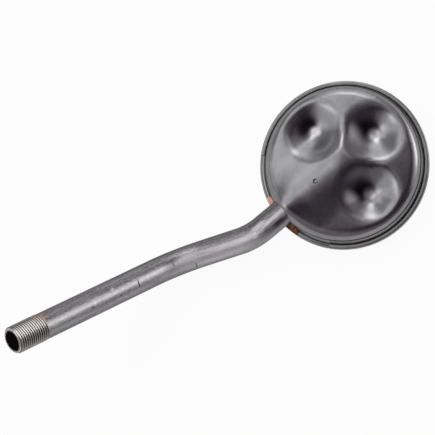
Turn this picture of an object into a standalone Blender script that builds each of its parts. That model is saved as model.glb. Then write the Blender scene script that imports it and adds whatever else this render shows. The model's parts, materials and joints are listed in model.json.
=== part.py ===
"""Oil pickup tube: a bent steel tube brazed into a round dimpled strainer housing.

The part is modelled in the housing's own frame: +Z along the housing's axis, the retaining ring's
underside at z = 0, and +X towards the point where the tube enters the side wall. An empty then lays
the whole part down on its rim and on the underside of the tube, as it comes to rest on a bench.
Units are metres.
"""

from math import asin, atan2, ceil, cos, hypot, pi, radians, sin, sqrt, tan

import bmesh
import bpy
import numpy as np
from mathutils import Matrix, Vector

# Clearances
SEAT_GAP = 0.0003            # between pieces that touch
BRAZE_FILM = 0.0003          # between the tube and the edge of its hole

# Retaining ring
RIM_RADIUS = 0.0515
RING_SHEET = 0.0010
RING_SEAT_WIDTH = 0.0070     # flat underside, from the rim to its inner edge
RING_CORNER = 0.0009         # outside rounding of the ring's folds
LIP_WIDTH = 0.0020           # radial width of the folded lip
LIP_OPEN_FROM = radians(-47)  # the lip stands unfolded between these angles
LIP_OPEN_TO = radians(40.7)

# Wire screen
SCREEN_THICKNESS = 0.0008
SCREEN_PITCH = 0.0092
SCREEN_BAR = 0.0030
SCREEN_LAYER_SHARE = 0.6     # of the thickness, so that the two layers of bars join
SCREEN_BORDER_SHOW = 0.0008  # plain border left in sight inside the ring

# Housing shell
SHELL_SHEET = 0.0012
CROWN_HEIGHT = 0.0168        # top of the crown's sphere above the flange's upper face
CROWN_RADIUS = 0.2050        # of that sphere
WALL_DRAFT = 0.0016          # growth of the wall's radius down to the flange
SHOULDER_RADIUS = 0.0080
FLANGE_FILLET = 0.0013
FLANGE_FLAT = 0.0001         # left of the flange beyond its fillet

# Dimples
DIMPLE_COUNT = 3
DIMPLE_RADIUS = 0.0220       # at which a dimple fades into the crown
DIMPLE_DEPTH = 0.0080
DIMPLE_WALL_INSET = 0.0220   # from the side wall to a dimple's centre
DIMPLE_FLOOR_POWER = 1.15    # flattens the floor
DIMPLE_LIP_POWER = 1.20      # softens the lip
DIMPLE_FINE_SHARE = 0.80     # of its radius that has finer facets
DIMPLE_TURN = radians(2.2)   # of the whole pattern about the axis

# Ridge across the crown towards the tube
RIDGE_HEIGHT = 0.0036
RIDGE_FULL = 0.0060          # distance from the axis at which it has its full height
RIDGE_RAMP = 0.0360
RIDGE_HALF_WIDTH = 0.0250

# Roof over the tube's entry, on the ridge
ROOF_CLEARANCE = 0.0001
ROOF_FLANK = 0.0060          # beyond the tube's side
ROOF_LEAD = 0.0020           # full height kept ahead of the tube's inner end
ROOF_RAMP = 0.0150

# Tube
TUBE_OD = 0.0160
TUBE_WALL = 0.0021
TUBE_LIFT = 0.0010           # underside of the tube above the flange
TUBE_REACH_IN = 0.0075       # length inside the wall
NECK_LENGTH = 0.0232         # wall to the second bend's corner
MIDDLE_LENGTH = 0.0489       # between the two bends' corners
STEM_LENGTH = 0.1271         # first bend's corner to the threaded end
NECK_TURN = radians(-21.9)   # in plan, at the bend next to the housing
STEM_TURN = radians(17.9)    # in plan, at the bend next to the stem
STEM_RISE = radians(43.3)
BEND_RADIUS = 0.0430

# Threaded end
THREAD_LENGTH = 0.0200
THREAD_MAJOR = 0.0165
THREAD_RUN_IN = 0.0004
END_FACE_DIAMETER = 0.0140
END_CHAMFER_LENGTH = 0.0011

# Braze
BRAZE_REACH = 0.0070         # along the rim, beyond the tube's side
BRAZE_HEIGHT = 0.0052
BRAZE_EDGE = 0.0006          # height of its outer edge
BRAZE_EDGE_INSET = 0.0003    # inside the ring's outer edge
BRAZE_TAPER = 0.70           # share of the height lost towards the ends
BRAZE_EVEN_SHARE = 0.5       # share of the length from the middle that has the full height

# Search for the pose in which the part lies at rest
LEAN_START = radians(8)
LEAN_STEPS = 4               # either side of the best lean so far
LEAN_PASSES = 24

# Facets
RING_STEPS = 72
SHELL_STEPS = 56
CROWN_RINGS = 10
ROUND_STEPS = 5              # along the shoulder's and the braze's rounding
FOLD_STEPS = 3               # along small roundings
BRAZE_STEPS = 24
TUBE_BEVEL_RESOLUTION = 12
TUBE_SIDES = 4 + 2 * TUBE_BEVEL_RESOLUTION
BEND_STEP = radians(5.5)
WELD = 0.00001               # points closer than this are one

# Levels and radii worked out from the sizes above
SCREEN_BOTTOM = RING_SHEET + SEAT_GAP
SCREEN_TOP = SCREEN_BOTTOM + SCREEN_THICKNESS
FLANGE_BOTTOM = SCREEN_TOP + SEAT_GAP
FLANGE_TOP = FLANGE_BOTTOM + SHELL_SHEET
LIP_BOTTOM = FLANGE_TOP + SEAT_GAP
RIM_HEIGHT = LIP_BOTTOM + RING_SHEET
RING_OPEN_RADIUS = RIM_RADIUS - RING_SEAT_WIDTH
FLANGE_RADIUS = RIM_RADIUS - RING_SHEET - SEAT_GAP
WALL_FOOT_RADIUS = FLANGE_RADIUS - FLANGE_FLAT - FLANGE_FILLET
WALL_RADIUS = WALL_FOOT_RADIUS - WALL_DRAFT
SHOULDER_CENTRE = WALL_RADIUS - SHOULDER_RADIUS
SHOULDER_TILT = asin(SHOULDER_CENTRE / (CROWN_RADIUS - SHOULDER_RADIUS))
SHOULDER_START = CROWN_RADIUS * sin(SHOULDER_TILT)
CROWN_TOP = FLANGE_TOP + CROWN_HEIGHT
WALL_TOP = CROWN_TOP - CROWN_RADIUS + (CROWN_RADIUS - SHOULDER_RADIUS) * cos(SHOULDER_TILT)
WALL_FOOT = FLANGE_TOP + FLANGE_FILLET
DIMPLE_CIRCLE = WALL_RADIUS - DIMPLE_WALL_INSET

TUBE_RADIUS = TUBE_OD / 2
BORE_RADIUS = TUBE_RADIUS - TUBE_WALL
HOLE_RADIUS = TUBE_RADIUS + BRAZE_FILM
TUBE_HEIGHT = FLANGE_TOP + TUBE_LIFT + TUBE_RADIUS
ROOF_TOP = TUBE_HEIGHT + HOLE_RADIUS + ROOF_CLEARANCE + SHELL_SHEET
ROOF_FULL = WALL_RADIUS - TUBE_REACH_IN - ROOF_LEAD
ROOF_HALF_WIDTH = TUBE_RADIUS + ROOF_FLANK


def clear_scene():
    """Remove every object, so that the script can be run again."""
    for item in list(bpy.data.objects):
        bpy.data.objects.remove(item, do_unlink=True)


def new_collection(name):
    """Return an empty collection linked to the scene."""
    old = bpy.data.collections.get(name)
    if old:
        bpy.data.collections.remove(old)
    made = bpy.data.collections.new(name)
    bpy.context.scene.collection.children.link(made)
    return made


def principled(name, color, roughness, metallic):
    """Return a plain Principled material."""
    made = bpy.data.materials.new(name)
    made.use_nodes = True
    shader = made.node_tree.nodes["Principled BSDF"]
    shader.inputs["Base Color"].default_value = (*color, 1.0)
    shader.inputs["Roughness"].default_value = roughness
    shader.inputs["Metallic"].default_value = metallic
    return made


def add_object(name, data, collection, material=None):
    """Link a new object that holds the given mesh or curve."""
    made = bpy.data.objects.new(name, data)
    collection.objects.link(made)
    if material:
        data.materials.append(material)
    return made


def mesh_from(bm, name):
    """Turn a bmesh into a mesh and free it."""
    mesh = bpy.data.meshes.new(name)
    bm.to_mesh(mesh)
    bm.free()
    return mesh


def smooth(obj, angle=radians(35)):
    """Shade an object's mesh smooth, with its corners sharp."""
    obj.data.shade_smooth()
    obj.data.set_sharp_from_angle(angle=angle)


def as_cutter(obj):
    """Mark an object as a cutter."""
    obj.display_type = "WIRE"
    obj.hide_render = True
    return obj


def boolean(obj, other, operation):
    """Add an exact Boolean modifier."""
    made = obj.modifiers.new(f"{operation.lower()} {other.name}", "BOOLEAN")
    made.operation = operation
    made.solver = "EXACT"
    made.object = other
    return made


def arc(centre, radius, start, end, steps):
    """Return the points of an arc in the plane of a profile, both ends included."""
    points = []
    for i in range(steps + 1):
        angle = start + (end - start) * i / steps
        points.append((centre[0] + radius * cos(angle), centre[1] + radius * sin(angle)))
    return points


def profile_mesh(name, points, closed):
    """Return a mesh of edges through profile points (radius, height) in the XZ plane."""
    bm = bmesh.new()
    verts = [bm.verts.new((x, 0.0, z)) for x, z in points]
    pairs = list(zip(verts, verts[1:]))
    if closed:
        pairs.append((verts[-1], verts[0]))
    for a, b in pairs:
        bm.edges.new((a, b))
    return mesh_from(bm, name)


def turned(name, points, steps, collection, material):
    """Turn a closed profile about Z with a Screw modifier."""
    obj = add_object(name, profile_mesh(name, points, closed=True), collection, material)
    screw = obj.modifiers.new("turn", "SCREW")
    screw.axis = "Z"
    screw.angle = 2 * pi
    screw.steps = steps
    screw.render_steps = steps
    screw.use_merge_vertices = True
    screw.merge_threshold = WELD
    screw.use_smooth_shade = True
    return obj


def prism(name, outline, low, high, collection):
    """Extrude a flat outline between two heights."""
    bm = bmesh.new()
    face = bm.faces.new([bm.verts.new((x, y, low)) for x, y in outline])
    made = bmesh.ops.extrude_face_region(bm, geom=[face])
    top = [item for item in made["geom"] if isinstance(item, bmesh.types.BMVert)]
    bmesh.ops.translate(bm, verts=top, vec=(0, 0, high - low))
    bmesh.ops.recalc_face_normals(bm, faces=bm.faces)
    return add_object(name, mesh_from(bm, name), collection)


def bent_path(corners, bend_radius):
    """Return points along straight runs joined by arcs of one radius."""
    path = [corners[0]]
    for before, corner, after in zip(corners, corners[1:], corners[2:]):
        incoming = (corner - before).normalized()
        outgoing = (after - corner).normalized()
        turn = incoming.angle(outgoing)
        axis = incoming.cross(outgoing).normalized()
        start = corner - incoming * bend_radius * tan(turn / 2)
        centre = start + axis.cross(incoming) * bend_radius
        count = ceil(turn / BEND_STEP)
        for i in range(count + 1):
            swing = Matrix.Rotation(turn * i / count, 3, axis)
            path.append(centre + swing @ (start - centre))
    path.append(corners[-1])
    return path


def tube_corners():
    """Return the corners of the tube's centre line, inner end first."""
    plan = Vector((1, 0, 0))
    middle = Matrix.Rotation(NECK_TURN, 3, "Z") @ plan
    stem_plan = Matrix.Rotation(NECK_TURN + STEM_TURN, 3, "Z") @ plan
    stem = stem_plan * cos(STEM_RISE) + Vector((0, 0, sin(STEM_RISE)))
    entry = Vector((WALL_RADIUS, 0, TUBE_HEIGHT))
    second = entry + plan * NECK_LENGTH
    first = second + middle * MIDDLE_LENGTH
    return [entry - plan * TUBE_REACH_IN, second, first, first + stem * STEM_LENGTH]


def rod(name, stations, collection, material=None):
    """Make a closed round rod through stations of (point, radius), as a mesh."""
    curve = bpy.data.curves.new(name + " path", "CURVE")
    curve.dimensions = "3D"
    curve.bevel_depth = 1.0
    curve.bevel_resolution = TUBE_BEVEL_RESOLUTION
    curve.use_fill_caps = True
    spline = curve.splines.new("POLY")
    spline.points.add(len(stations) - 1)
    for target, (point, radius) in zip(spline.points, stations):
        target.co = (*point, 1.0)
        target.radius = radius
    guide = add_object(name + " path", curve, collection)
    bpy.context.view_layer.update()
    evaluated = guide.evaluated_get(bpy.context.evaluated_depsgraph_get())
    mesh = bpy.data.meshes.new_from_object(evaluated)
    mesh.name = name
    matrix = guide.matrix_world.copy()
    bpy.data.objects.remove(guide, do_unlink=True)
    bm = bmesh.new()
    bm.from_mesh(mesh)
    bmesh.ops.remove_doubles(bm, verts=bm.verts, dist=WELD)
    bmesh.ops.recalc_face_normals(bm, faces=bm.faces)
    bm.to_mesh(mesh)
    bm.free()
    made = add_object(name, mesh, collection, material)
    made.matrix_world = matrix
    return made


def build_tube(parts, cutters, material):
    """Bend, thread-size, chamfer and bore the pickup tube."""
    corners = tube_corners()
    path = bent_path(corners, BEND_RADIUS)
    tip = path[-1]
    along = (corners[-1] - corners[-2]).normalized()
    stations = [(point, TUBE_RADIUS) for point in path[:-1]]
    stations += [
        (tip - along * (THREAD_LENGTH + THREAD_RUN_IN), TUBE_RADIUS),
        (tip - along * THREAD_LENGTH, THREAD_MAJOR / 2),
        (tip - along * END_CHAMFER_LENGTH, THREAD_MAJOR / 2),
        (tip, END_FACE_DIAMETER / 2),
    ]
    tube = rod("pickup_tube", stations, parts, material)

    overrun = TUBE_WALL
    inward = (path[0] - path[1]).normalized()
    bore_path = [path[0] + inward * overrun] + path[1:-1] + [tip + along * overrun]
    bore = as_cutter(rod("tube bore", [(point, BORE_RADIUS) for point in bore_path], cutters))
    boolean(tube, bore, "DIFFERENCE")
    smooth(tube)


def build_ring(parts, cutters, material):
    """Fold the retaining ring, and leave its lip standing beside the tube."""
    out = RIM_RADIUS
    inside = RIM_RADIUS - RING_SHEET
    corner = RING_CORNER
    lip_edge = RIM_RADIUS - LIP_WIDTH
    points = [(lip_edge, RIM_HEIGHT)]
    points += arc((out - corner, RIM_HEIGHT - corner), corner, pi / 2, 0, FOLD_STEPS)
    points += arc((out - corner, corner), corner, 0, -pi / 2, FOLD_STEPS)
    points += [
        (RING_OPEN_RADIUS, 0.0),
        (RING_OPEN_RADIUS, RING_SHEET),
        (inside, RING_SHEET),
        (inside, LIP_BOTTOM),
        (lip_edge, LIP_BOTTOM),
    ]
    ring = turned("retaining_ring", points, RING_STEPS, parts, material)

    beyond = 2 * RIM_RADIUS
    wedge = [(0.0, 0.0), (beyond, beyond * tan(LIP_OPEN_FROM)), (beyond, beyond * tan(LIP_OPEN_TO))]
    opening = prism("lip opening", wedge, FLANGE_TOP, RIM_HEIGHT + RING_SHEET, cutters)
    boolean(ring, as_cutter(opening), "DIFFERENCE")


def build_screen(parts, cutters, material):
    """Cross two layers of flat bars inside a border, as the coarse weave of the screen."""
    border_inner = RING_OPEN_RADIUS - SCREEN_BORDER_SHOW
    border = [
        (border_inner, SCREEN_TOP),
        (FLANGE_RADIUS, SCREEN_TOP),
        (FLANGE_RADIUS, SCREEN_BOTTOM),
        (border_inner, SCREEN_BOTTOM),
    ]
    screen = turned("wire_screen", border, RING_STEPS, parts, material)

    layer = SCREEN_THICKNESS * SCREEN_LAYER_SHARE
    reach = (border_inner + FLANGE_RADIUS) / 2
    count = int((border_inner - SCREEN_BAR / 2) / SCREEN_PITCH)
    layers = (("warp bars", SCREEN_BOTTOM, False), ("weft bars", SCREEN_TOP - layer, True))
    for name, low, across in layers:
        bm = bmesh.new()
        for i in range(-count, count + 1):
            offset = i * SCREEN_PITCH
            length = 2 * sqrt(reach ** 2 - (abs(offset) + SCREEN_BAR / 2) ** 2)
            size = (SCREEN_BAR, length) if across else (length, SCREEN_BAR)
            centre = (offset, 0.0) if across else (0.0, offset)
            matrix = Matrix.Translation((*centre, low + layer / 2))
            matrix = matrix @ Matrix.Diagonal((*size, layer, 1.0))
            bmesh.ops.create_cube(bm, size=1.0, matrix=matrix)
        bars = as_cutter(add_object(name, mesh_from(bm, name), cutters))
        boolean(screen, bars, "UNION")


def dimple_centres():
    """Return the plan centres of the dimples, which leave the tube's corner free."""
    step = 2 * pi / (DIMPLE_COUNT + 1)
    angles = [DIMPLE_TURN + step * (i + 1) for i in range(DIMPLE_COUNT)]
    return [(DIMPLE_CIRCLE * cos(a), DIMPLE_CIRCLE * sin(a)) for a in angles]


def crown_height(radius):
    """Return the height of the undimpled crown's sphere at a radius."""
    return CROWN_TOP - CROWN_RADIUS + sqrt(CROWN_RADIUS ** 2 - radius ** 2)


def dimple_drop(distance):
    """Return how far the crown is pressed down at a distance from a dimple's centre."""
    if distance >= DIMPLE_RADIUS:
        return 0.0
    turn = pi * (distance / DIMPLE_RADIUS) ** DIMPLE_FLOOR_POWER
    return DIMPLE_DEPTH * ((1 + cos(turn)) / 2) ** DIMPLE_LIP_POWER


def swell(x, y, full, ramp, half_width):
    """Return the share of its height that a swelling along +X has at a point."""
    share = min(1.0, 1 - (full - x) / ramp)
    if share <= 0 or abs(y) >= half_width:
        return 0.0
    return share * share * (3 - 2 * share) * cos(pi * y / (2 * half_width)) ** 2


def crown_lift(x, y):
    """Return how far the crown is raised at a point by the ridge and by the roof over the tube."""
    ridge = RIDGE_HEIGHT * swell(x, y, RIDGE_FULL, RIDGE_RAMP, RIDGE_HALF_WIDTH)
    missing = ROOF_TOP - crown_height(hypot(x, y)) - RIDGE_HEIGHT
    return ridge + missing * swell(x, y, ROOF_FULL, ROOF_RAMP, ROOF_HALF_WIDTH)


def shell_profile():
    """Return the outer profile of the undimpled cup, from its centre to the flange's edge."""
    radii = [SHOULDER_START * i / CROWN_RINGS for i in range(CROWN_RINGS)]
    points = [(radius, crown_height(radius)) for radius in radii]
    points += arc((SHOULDER_CENTRE, WALL_TOP), SHOULDER_RADIUS, pi / 2 - SHOULDER_TILT, 0, ROUND_STEPS)
    points += [((WALL_RADIUS + WALL_FOOT_RADIUS) / 2, (WALL_TOP + WALL_FOOT) / 2)]
    points += arc((WALL_FOOT_RADIUS + FLANGE_FILLET, WALL_FOOT), FLANGE_FILLET, pi, 3 * pi / 2,
                  FOLD_STEPS)
    points += [(FLANGE_RADIUS, FLANGE_TOP)]
    return points


def refine_dimples(bm):
    """Divide the faces inside the dimples, where the surface bends most."""
    fine = DIMPLE_RADIUS * DIMPLE_FINE_SHARE
    edges = []
    for edge in bm.edges:
        middle = (edge.verts[0].co + edge.verts[1].co) / 2
        if any(hypot(middle.x - x, middle.y - y) < fine for x, y in dimple_centres()):
            edges.append(edge)
    bmesh.ops.subdivide_edges(bm, edges=edges, cuts=1, use_grid_fill=True)


def press_shell(bm):
    """Press the dimples into the crown and raise the ridge and the roof over the tube."""
    centres = dimple_centres()
    for vert in bm.verts:
        x, y, z = vert.co
        share = min(1.0, max(0.0, (z - WALL_FOOT) / (WALL_TOP - WALL_FOOT)))
        drop = sum(dimple_drop(hypot(x - cx, y - cy)) for cx, cy in centres)
        vert.co.z = z + (crown_lift(x, y) - drop) * share


def build_shell(parts, cutters, material):
    """Draw the housing shell from one sheet, and pierce its wall for the tube."""
    bm = bmesh.new()
    verts = [bm.verts.new((x, 0.0, z)) for x, z in shell_profile()]
    edges = [bm.edges.new(pair) for pair in zip(verts, verts[1:])]
    bmesh.ops.spin(bm, geom=verts + edges, cent=(0, 0, 0), axis=(0, 0, 1), angle=2 * pi,
                   steps=SHELL_STEPS, use_merge=True)
    bmesh.ops.remove_doubles(bm, verts=bm.verts, dist=WELD)
    refine_dimples(bm)
    press_shell(bm)
    bm.normal_update()
    if sum(face.normal.z for face in bm.faces) < 0:
        bmesh.ops.reverse_faces(bm, faces=bm.faces)
    shell = add_object("housing_shell", mesh_from(bm, "housing_shell"), parts, material)
    wall = shell.modifiers.new("sheet", "SOLIDIFY")
    wall.thickness = SHELL_SHEET
    wall.offset = -1.0
    wall.use_quality_normals = True
    wall.use_even_offset = True

    inner = WALL_RADIUS - TUBE_REACH_IN
    outer = RIM_RADIUS + TUBE_RADIUS
    bm = bmesh.new()
    lie_along_x = Matrix.Rotation(pi / 2, 4, "Y")
    matrix = Matrix.Translation(((inner + outer) / 2, 0, TUBE_HEIGHT)) @ lie_along_x
    bmesh.ops.create_cone(bm, cap_ends=True, segments=TUBE_SIDES, radius1=HOLE_RADIUS,
                          radius2=HOLE_RADIUS, depth=outer - inner, matrix=matrix)
    hole = as_cutter(add_object("tube hole", mesh_from(bm, "tube hole"), cutters))
    boolean(shell, hole, "DIFFERENCE")
    smooth(shell)
    return hole


def build_braze(parts, hole, material):
    """Run the braze along the rim on both sides of the tube, joined by a web under it."""
    wall_gap = WALL_FOOT_RADIUS + SEAT_GAP
    floor = FLANGE_TOP + SEAT_GAP
    outer = RIM_RADIUS - BRAZE_EDGE_INSET
    fillet = FLANGE_FILLET - SEAT_GAP
    heel = (WALL_FOOT_RADIUS + FLANGE_FILLET, WALL_FOOT)
    section = arc(heel, fillet, 3 * pi / 2, pi, FOLD_STEPS)
    width, rise = outer - wall_gap, BRAZE_HEIGHT - BRAZE_EDGE
    section += [(outer + width * x, floor + BRAZE_HEIGHT + rise * z)
                for x, z in arc((0.0, 0.0), 1.0, pi, 3 * pi / 2, ROUND_STEPS)]
    section += [(outer, floor)]

    half_angle = asin(TUBE_RADIUS / RIM_RADIUS) + BRAZE_REACH / RIM_RADIUS
    bm = bmesh.new()
    face = bm.faces.new([bm.verts.new((x, 0.0, z)) for x, z in section])
    bmesh.ops.rotate(bm, verts=bm.verts, cent=(0, 0, 0), matrix=Matrix.Rotation(-half_angle, 3, "Z"))
    bmesh.ops.spin(bm, geom=[face], cent=(0, 0, 0), axis=(0, 0, 1), angle=2 * half_angle,
                   steps=BRAZE_STEPS, use_merge=False)
    for vert in bm.verts:
        share = abs(atan2(vert.co.y, vert.co.x)) / half_angle
        side = max(0.0, share - BRAZE_EVEN_SHARE) / (1 - BRAZE_EVEN_SHARE)
        vert.co.z = floor + (vert.co.z - floor) * (1 - BRAZE_TAPER * side * side)
    bmesh.ops.recalc_face_normals(bm, faces=bm.faces)
    braze = add_object("braze_fillet", mesh_from(bm, "braze_fillet"), parts, material)
    boolean(braze, hole, "DIFFERENCE")
    smooth(braze)


def world_points(objects):
    """Return the evaluated vertices and the centre of volume of some objects."""
    graph = bpy.context.evaluated_depsgraph_get()
    points, moment, volume = [], Vector((0, 0, 0)), 0.0
    for obj in objects:
        evaluated = obj.evaluated_get(graph)
        mesh = evaluated.to_mesh()
        mesh.transform(obj.matrix_world)
        mesh.calc_loop_triangles()
        points += [tuple(vert.co) for vert in mesh.vertices]
        for triangle in mesh.loop_triangles:
            a, b, c = (mesh.vertices[i].co for i in triangle.vertices)
            part = a.dot(b.cross(c)) / 6
            volume += part
            moment += part * (a + b + c) / 4
        evaluated.to_mesh_clear()
    return np.array(points), moment / volume


def resting_rotation(points, centre):
    """Find the lean about X and Y at which the centre of volume lies lowest over the floor."""
    best, lean, span = None, (0.0, LEAN_START), LEAN_START
    steps = range(-LEAN_STEPS, LEAN_STEPS + 1)
    for _ in range(LEAN_PASSES):
        around = [(lean[0] + i * span / LEAN_STEPS, lean[1] + j * span / LEAN_STEPS)
                  for i in steps for j in steps]
        for candidate in around:
            turn = Matrix.Rotation(candidate[1], 3, "Y") @ Matrix.Rotation(candidate[0], 3, "X")
            up = np.array(turn[2])
            height = float(np.dot(up, centre) - (points @ up).min())
            if best is None or height < best:
                best, lean = height, candidate
        span /= 2
    return Matrix.Rotation(lean[1], 3, "Y") @ Matrix.Rotation(lean[0], 3, "X")


def lay_down(parts, cutters):
    """Parent the pieces to an empty that rests the part on the floor, centred over its origin."""
    bpy.context.view_layer.update()
    points, centre = world_points(parts.objects)
    turn = resting_rotation(points, centre)
    laid = points @ np.array(turn).T
    low, high = laid.min(axis=0), laid.max(axis=0)
    rest = bpy.data.objects.new("rest_pose", None)
    rest.rotation_euler = turn.to_euler()
    rest.location = (-(low[0] + high[0]) / 2, -(low[1] + high[1]) / 2, -low[2])
    for obj in [*parts.objects, *cutters.objects]:
        obj.parent = rest
    parts.objects.link(rest)


def main():
    """Build every piece and lay the part down."""
    clear_scene()
    parts = new_collection("oil_pickup_tube")
    cutters = new_collection("cutters")
    tube_steel = principled("tube steel", (0.22, 0.22, 0.225), 0.38, 1.0)
    shell_steel = principled("drawn shell steel", (0.16, 0.16, 0.17), 0.34, 1.0)
    ring_steel = principled("ring steel", (0.15, 0.15, 0.16), 0.36, 1.0)
    wire_steel = principled("wire steel", (0.30, 0.30, 0.31), 0.40, 1.0)
    copper = principled("copper braze", (0.62, 0.30, 0.19), 0.42, 1.0)

    build_tube(parts, cutters, tube_steel)
    build_ring(parts, cutters, ring_steel)
    build_screen(parts, cutters, wire_steel)
    hole = build_shell(parts, cutters, shell_steel)
    build_braze(parts, hole, copper)
    lay_down(parts, cutters)


main()
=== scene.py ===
import json
import logging
from dataclasses import dataclass, replace
from enum import Enum
from math import asin, atan2, ceil, cos, hypot, pi, radians, sin, sqrt, tan
from typing import Any, Callable, Iterable, Optional, Sequence, Union

import bmesh
import bpy
from mathutils import Matrix, Vector, noise


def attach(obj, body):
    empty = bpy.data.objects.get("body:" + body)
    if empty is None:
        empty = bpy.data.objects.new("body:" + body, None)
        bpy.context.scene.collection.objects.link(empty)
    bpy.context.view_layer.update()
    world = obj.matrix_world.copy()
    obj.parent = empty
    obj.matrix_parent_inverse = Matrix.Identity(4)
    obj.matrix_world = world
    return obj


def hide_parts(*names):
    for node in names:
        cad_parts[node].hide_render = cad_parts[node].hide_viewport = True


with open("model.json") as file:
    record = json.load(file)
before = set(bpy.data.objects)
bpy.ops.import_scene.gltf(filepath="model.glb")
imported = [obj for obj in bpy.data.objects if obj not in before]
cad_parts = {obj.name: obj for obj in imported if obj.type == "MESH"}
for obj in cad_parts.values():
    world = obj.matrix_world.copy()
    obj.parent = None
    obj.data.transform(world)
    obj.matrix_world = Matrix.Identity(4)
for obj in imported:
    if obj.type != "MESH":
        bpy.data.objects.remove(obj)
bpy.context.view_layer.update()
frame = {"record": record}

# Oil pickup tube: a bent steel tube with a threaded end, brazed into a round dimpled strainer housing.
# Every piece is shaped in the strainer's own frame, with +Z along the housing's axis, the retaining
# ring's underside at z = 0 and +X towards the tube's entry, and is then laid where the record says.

LOG = logging.getLogger("oil_pickup_tube")
TUBE_SIDES = 72
MERGE_DISTANCE = 1e-6

Color = tuple[float, float, float]
Point = tuple[float, float]
Socket = bpy.types.NodeSocket
Value = Union[float, Sequence[float], Socket]


class Slot(Enum):
    """The record's material slots."""

    TUBE = "tube_steel"
    SHELL = "shell_steel"
    RING = "ring_steel"
    WIRE = "wire_steel"
    BRAZE = "braze"


class Weave(Enum):
    """The two directions of wire in the screen's cloth."""

    WARP = "warp"
    WEFT = "weft"


@dataclass(frozen=True)
class Sizes:
    """The sizes that more than one piece is made to, in metres, as in the part's solids."""

    seat_gap: float = 0.0003
    rim_radius: float = 0.0515
    ring_sheet: float = 0.0010
    ring_seat_width: float = 0.0070
    ring_corner: float = 0.0009
    lip_width: float = 0.0020
    screen_thickness: float = 0.0008
    shell_sheet: float = 0.0012
    wall_draft: float = 0.0016
    flange_fillet: float = 0.0013
    flange_flat: float = 0.0001
    tube_od: float = 0.0160
    tube_wall: float = 0.0021
    tube_lift: float = 0.0010
    tube_reach_in: float = 0.0075

    @property
    def screen_bottom(self) -> float:
        """Height of the screen's underside."""
        return self.ring_sheet + self.seat_gap

    @property
    def flange_bottom(self) -> float:
        """Height of the shell's open edge."""
        return self.screen_bottom + self.screen_thickness + self.seat_gap

    @property
    def flange_top(self) -> float:
        """Height of the flange's upper face."""
        return self.flange_bottom + self.shell_sheet

    @property
    def lip_bottom(self) -> float:
        """Height of the folded lip's underside."""
        return self.flange_top + self.seat_gap

    @property
    def rim_height(self) -> float:
        """Height of the folded lip's upper face."""
        return self.lip_bottom + self.ring_sheet

    @property
    def ring_open_radius(self) -> float:
        """Radius of the ring's opening, through which oil reaches the screen."""
        return self.rim_radius - self.ring_seat_width

    @property
    def flange_radius(self) -> float:
        """Radius of the flange's edge."""
        return self.rim_radius - self.ring_sheet - self.seat_gap

    @property
    def wall_foot_radius(self) -> float:
        """Radius of the side wall just above the flange's fillet."""
        return self.flange_radius - self.flange_flat - self.flange_fillet

    @property
    def wall_radius(self) -> float:
        """Radius of the side wall at the shoulder."""
        return self.wall_foot_radius - self.wall_draft

    @property
    def tube_radius(self) -> float:
        """Outside radius of the tube."""
        return self.tube_od / 2

    @property
    def tube_height(self) -> float:
        """Height of the tube's centre line where it enters the housing."""
        return self.flange_top + self.tube_lift + self.tube_radius


@dataclass(frozen=True)
class Placement:
    """Where the strainer's own frame lies in the row's frame."""

    matrix: Matrix

    @classmethod
    def from_record(cls, record: dict[str, Any], sizes: Sizes) -> "Placement":
        """Work the frame out from the mount on the ring's underside.

        Args:
            record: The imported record.
            sizes: The sizes that place the mount's point on the ring.

        Returns:
            The placement of the strainer's own frame.
        """
        mount = next(item for item in record["mounts"] if item["name"] == "strainer_underside")
        up = -Vector(mount["axis"]).normalized()
        out = Vector((0.0, 1.0, 0.0)).cross(up).normalized()
        turn = Matrix((out, up.cross(out), up)).transposed()
        seat = (sizes.ring_open_radius + sizes.rim_radius - sizes.ring_corner) / 2
        origin = Vector(mount["pos_m"]) + turn @ Vector((seat, 0.0, 0.0))
        return cls(Matrix.Translation(origin) @ turn.to_4x4())


# Shapes


def arc(centre: Point, radius: float, start: float, end: float, steps: int) -> list[Point]:
    """Return the points of an arc in the plane of a profile, both ends included."""
    turns = (start + (end - start) * i / steps for i in range(steps + 1))
    return [(centre[0] + radius * cos(turn), centre[1] + radius * sin(turn)) for turn in turns]


def ease(share: float) -> float:
    """Return a share between 0 and 1 with soft ends."""
    share = min(1.0, max(0.0, share))
    return share * share * (3 - 2 * share)


def spun(points: Sequence[Point], steps: int, closed: bool) -> bmesh.types.BMesh:
    """Turn a profile of (radius, height) points about Z.

    Args:
        points: The profile, from the axis outwards.
        steps: Facets round the axis.
        closed: Whether the profile's ends are joined.

    Returns:
        A bmesh with its doubles merged and its normals recalculated.
    """
    bm = bmesh.new()
    verts = [bm.verts.new((x, 0.0, z)) for x, z in points]
    pairs = list(zip(verts, verts[1:])) + ([(verts[-1], verts[0])] if closed else [])
    edges = [bm.edges.new(pair) for pair in pairs]
    bmesh.ops.spin(bm, geom=verts + edges, cent=(0, 0, 0), axis=(0, 0, 1), angle=2 * pi,
                   steps=steps, use_merge=True)
    bmesh.ops.remove_doubles(bm, verts=bm.verts, dist=MERGE_DISTANCE)
    bmesh.ops.recalc_face_normals(bm, faces=bm.faces)
    return bm


def ring_edges(bm: bmesh.types.BMesh, ring: Sequence[bmesh.types.BMVert]) -> list[bmesh.types.BMEdge]:
    """Return the edges round a ring of vertices."""
    return [bm.edges.get(pair) for pair in zip(ring, [*ring[1:], ring[0]])]


def next_ring(bm: bmesh.types.BMesh, ring: Sequence[bmesh.types.BMVert]) -> list[bmesh.types.BMVert]:
    """Extrude a ring of vertices.

    Args:
        bm: The bmesh that the ring is in.
        ring: The ring's vertices in order.

    Returns:
        The new ring's vertices in the same order.
    """
    made = bmesh.ops.extrude_edge_only(bm, edges=ring_edges(bm, ring))
    fresh = {item for item in made["geom"] if isinstance(item, bmesh.types.BMVert)}
    return [next(edge.other_vert(vert) for edge in vert.link_edges if edge.other_vert(vert) in fresh)
            for vert in ring]


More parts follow.
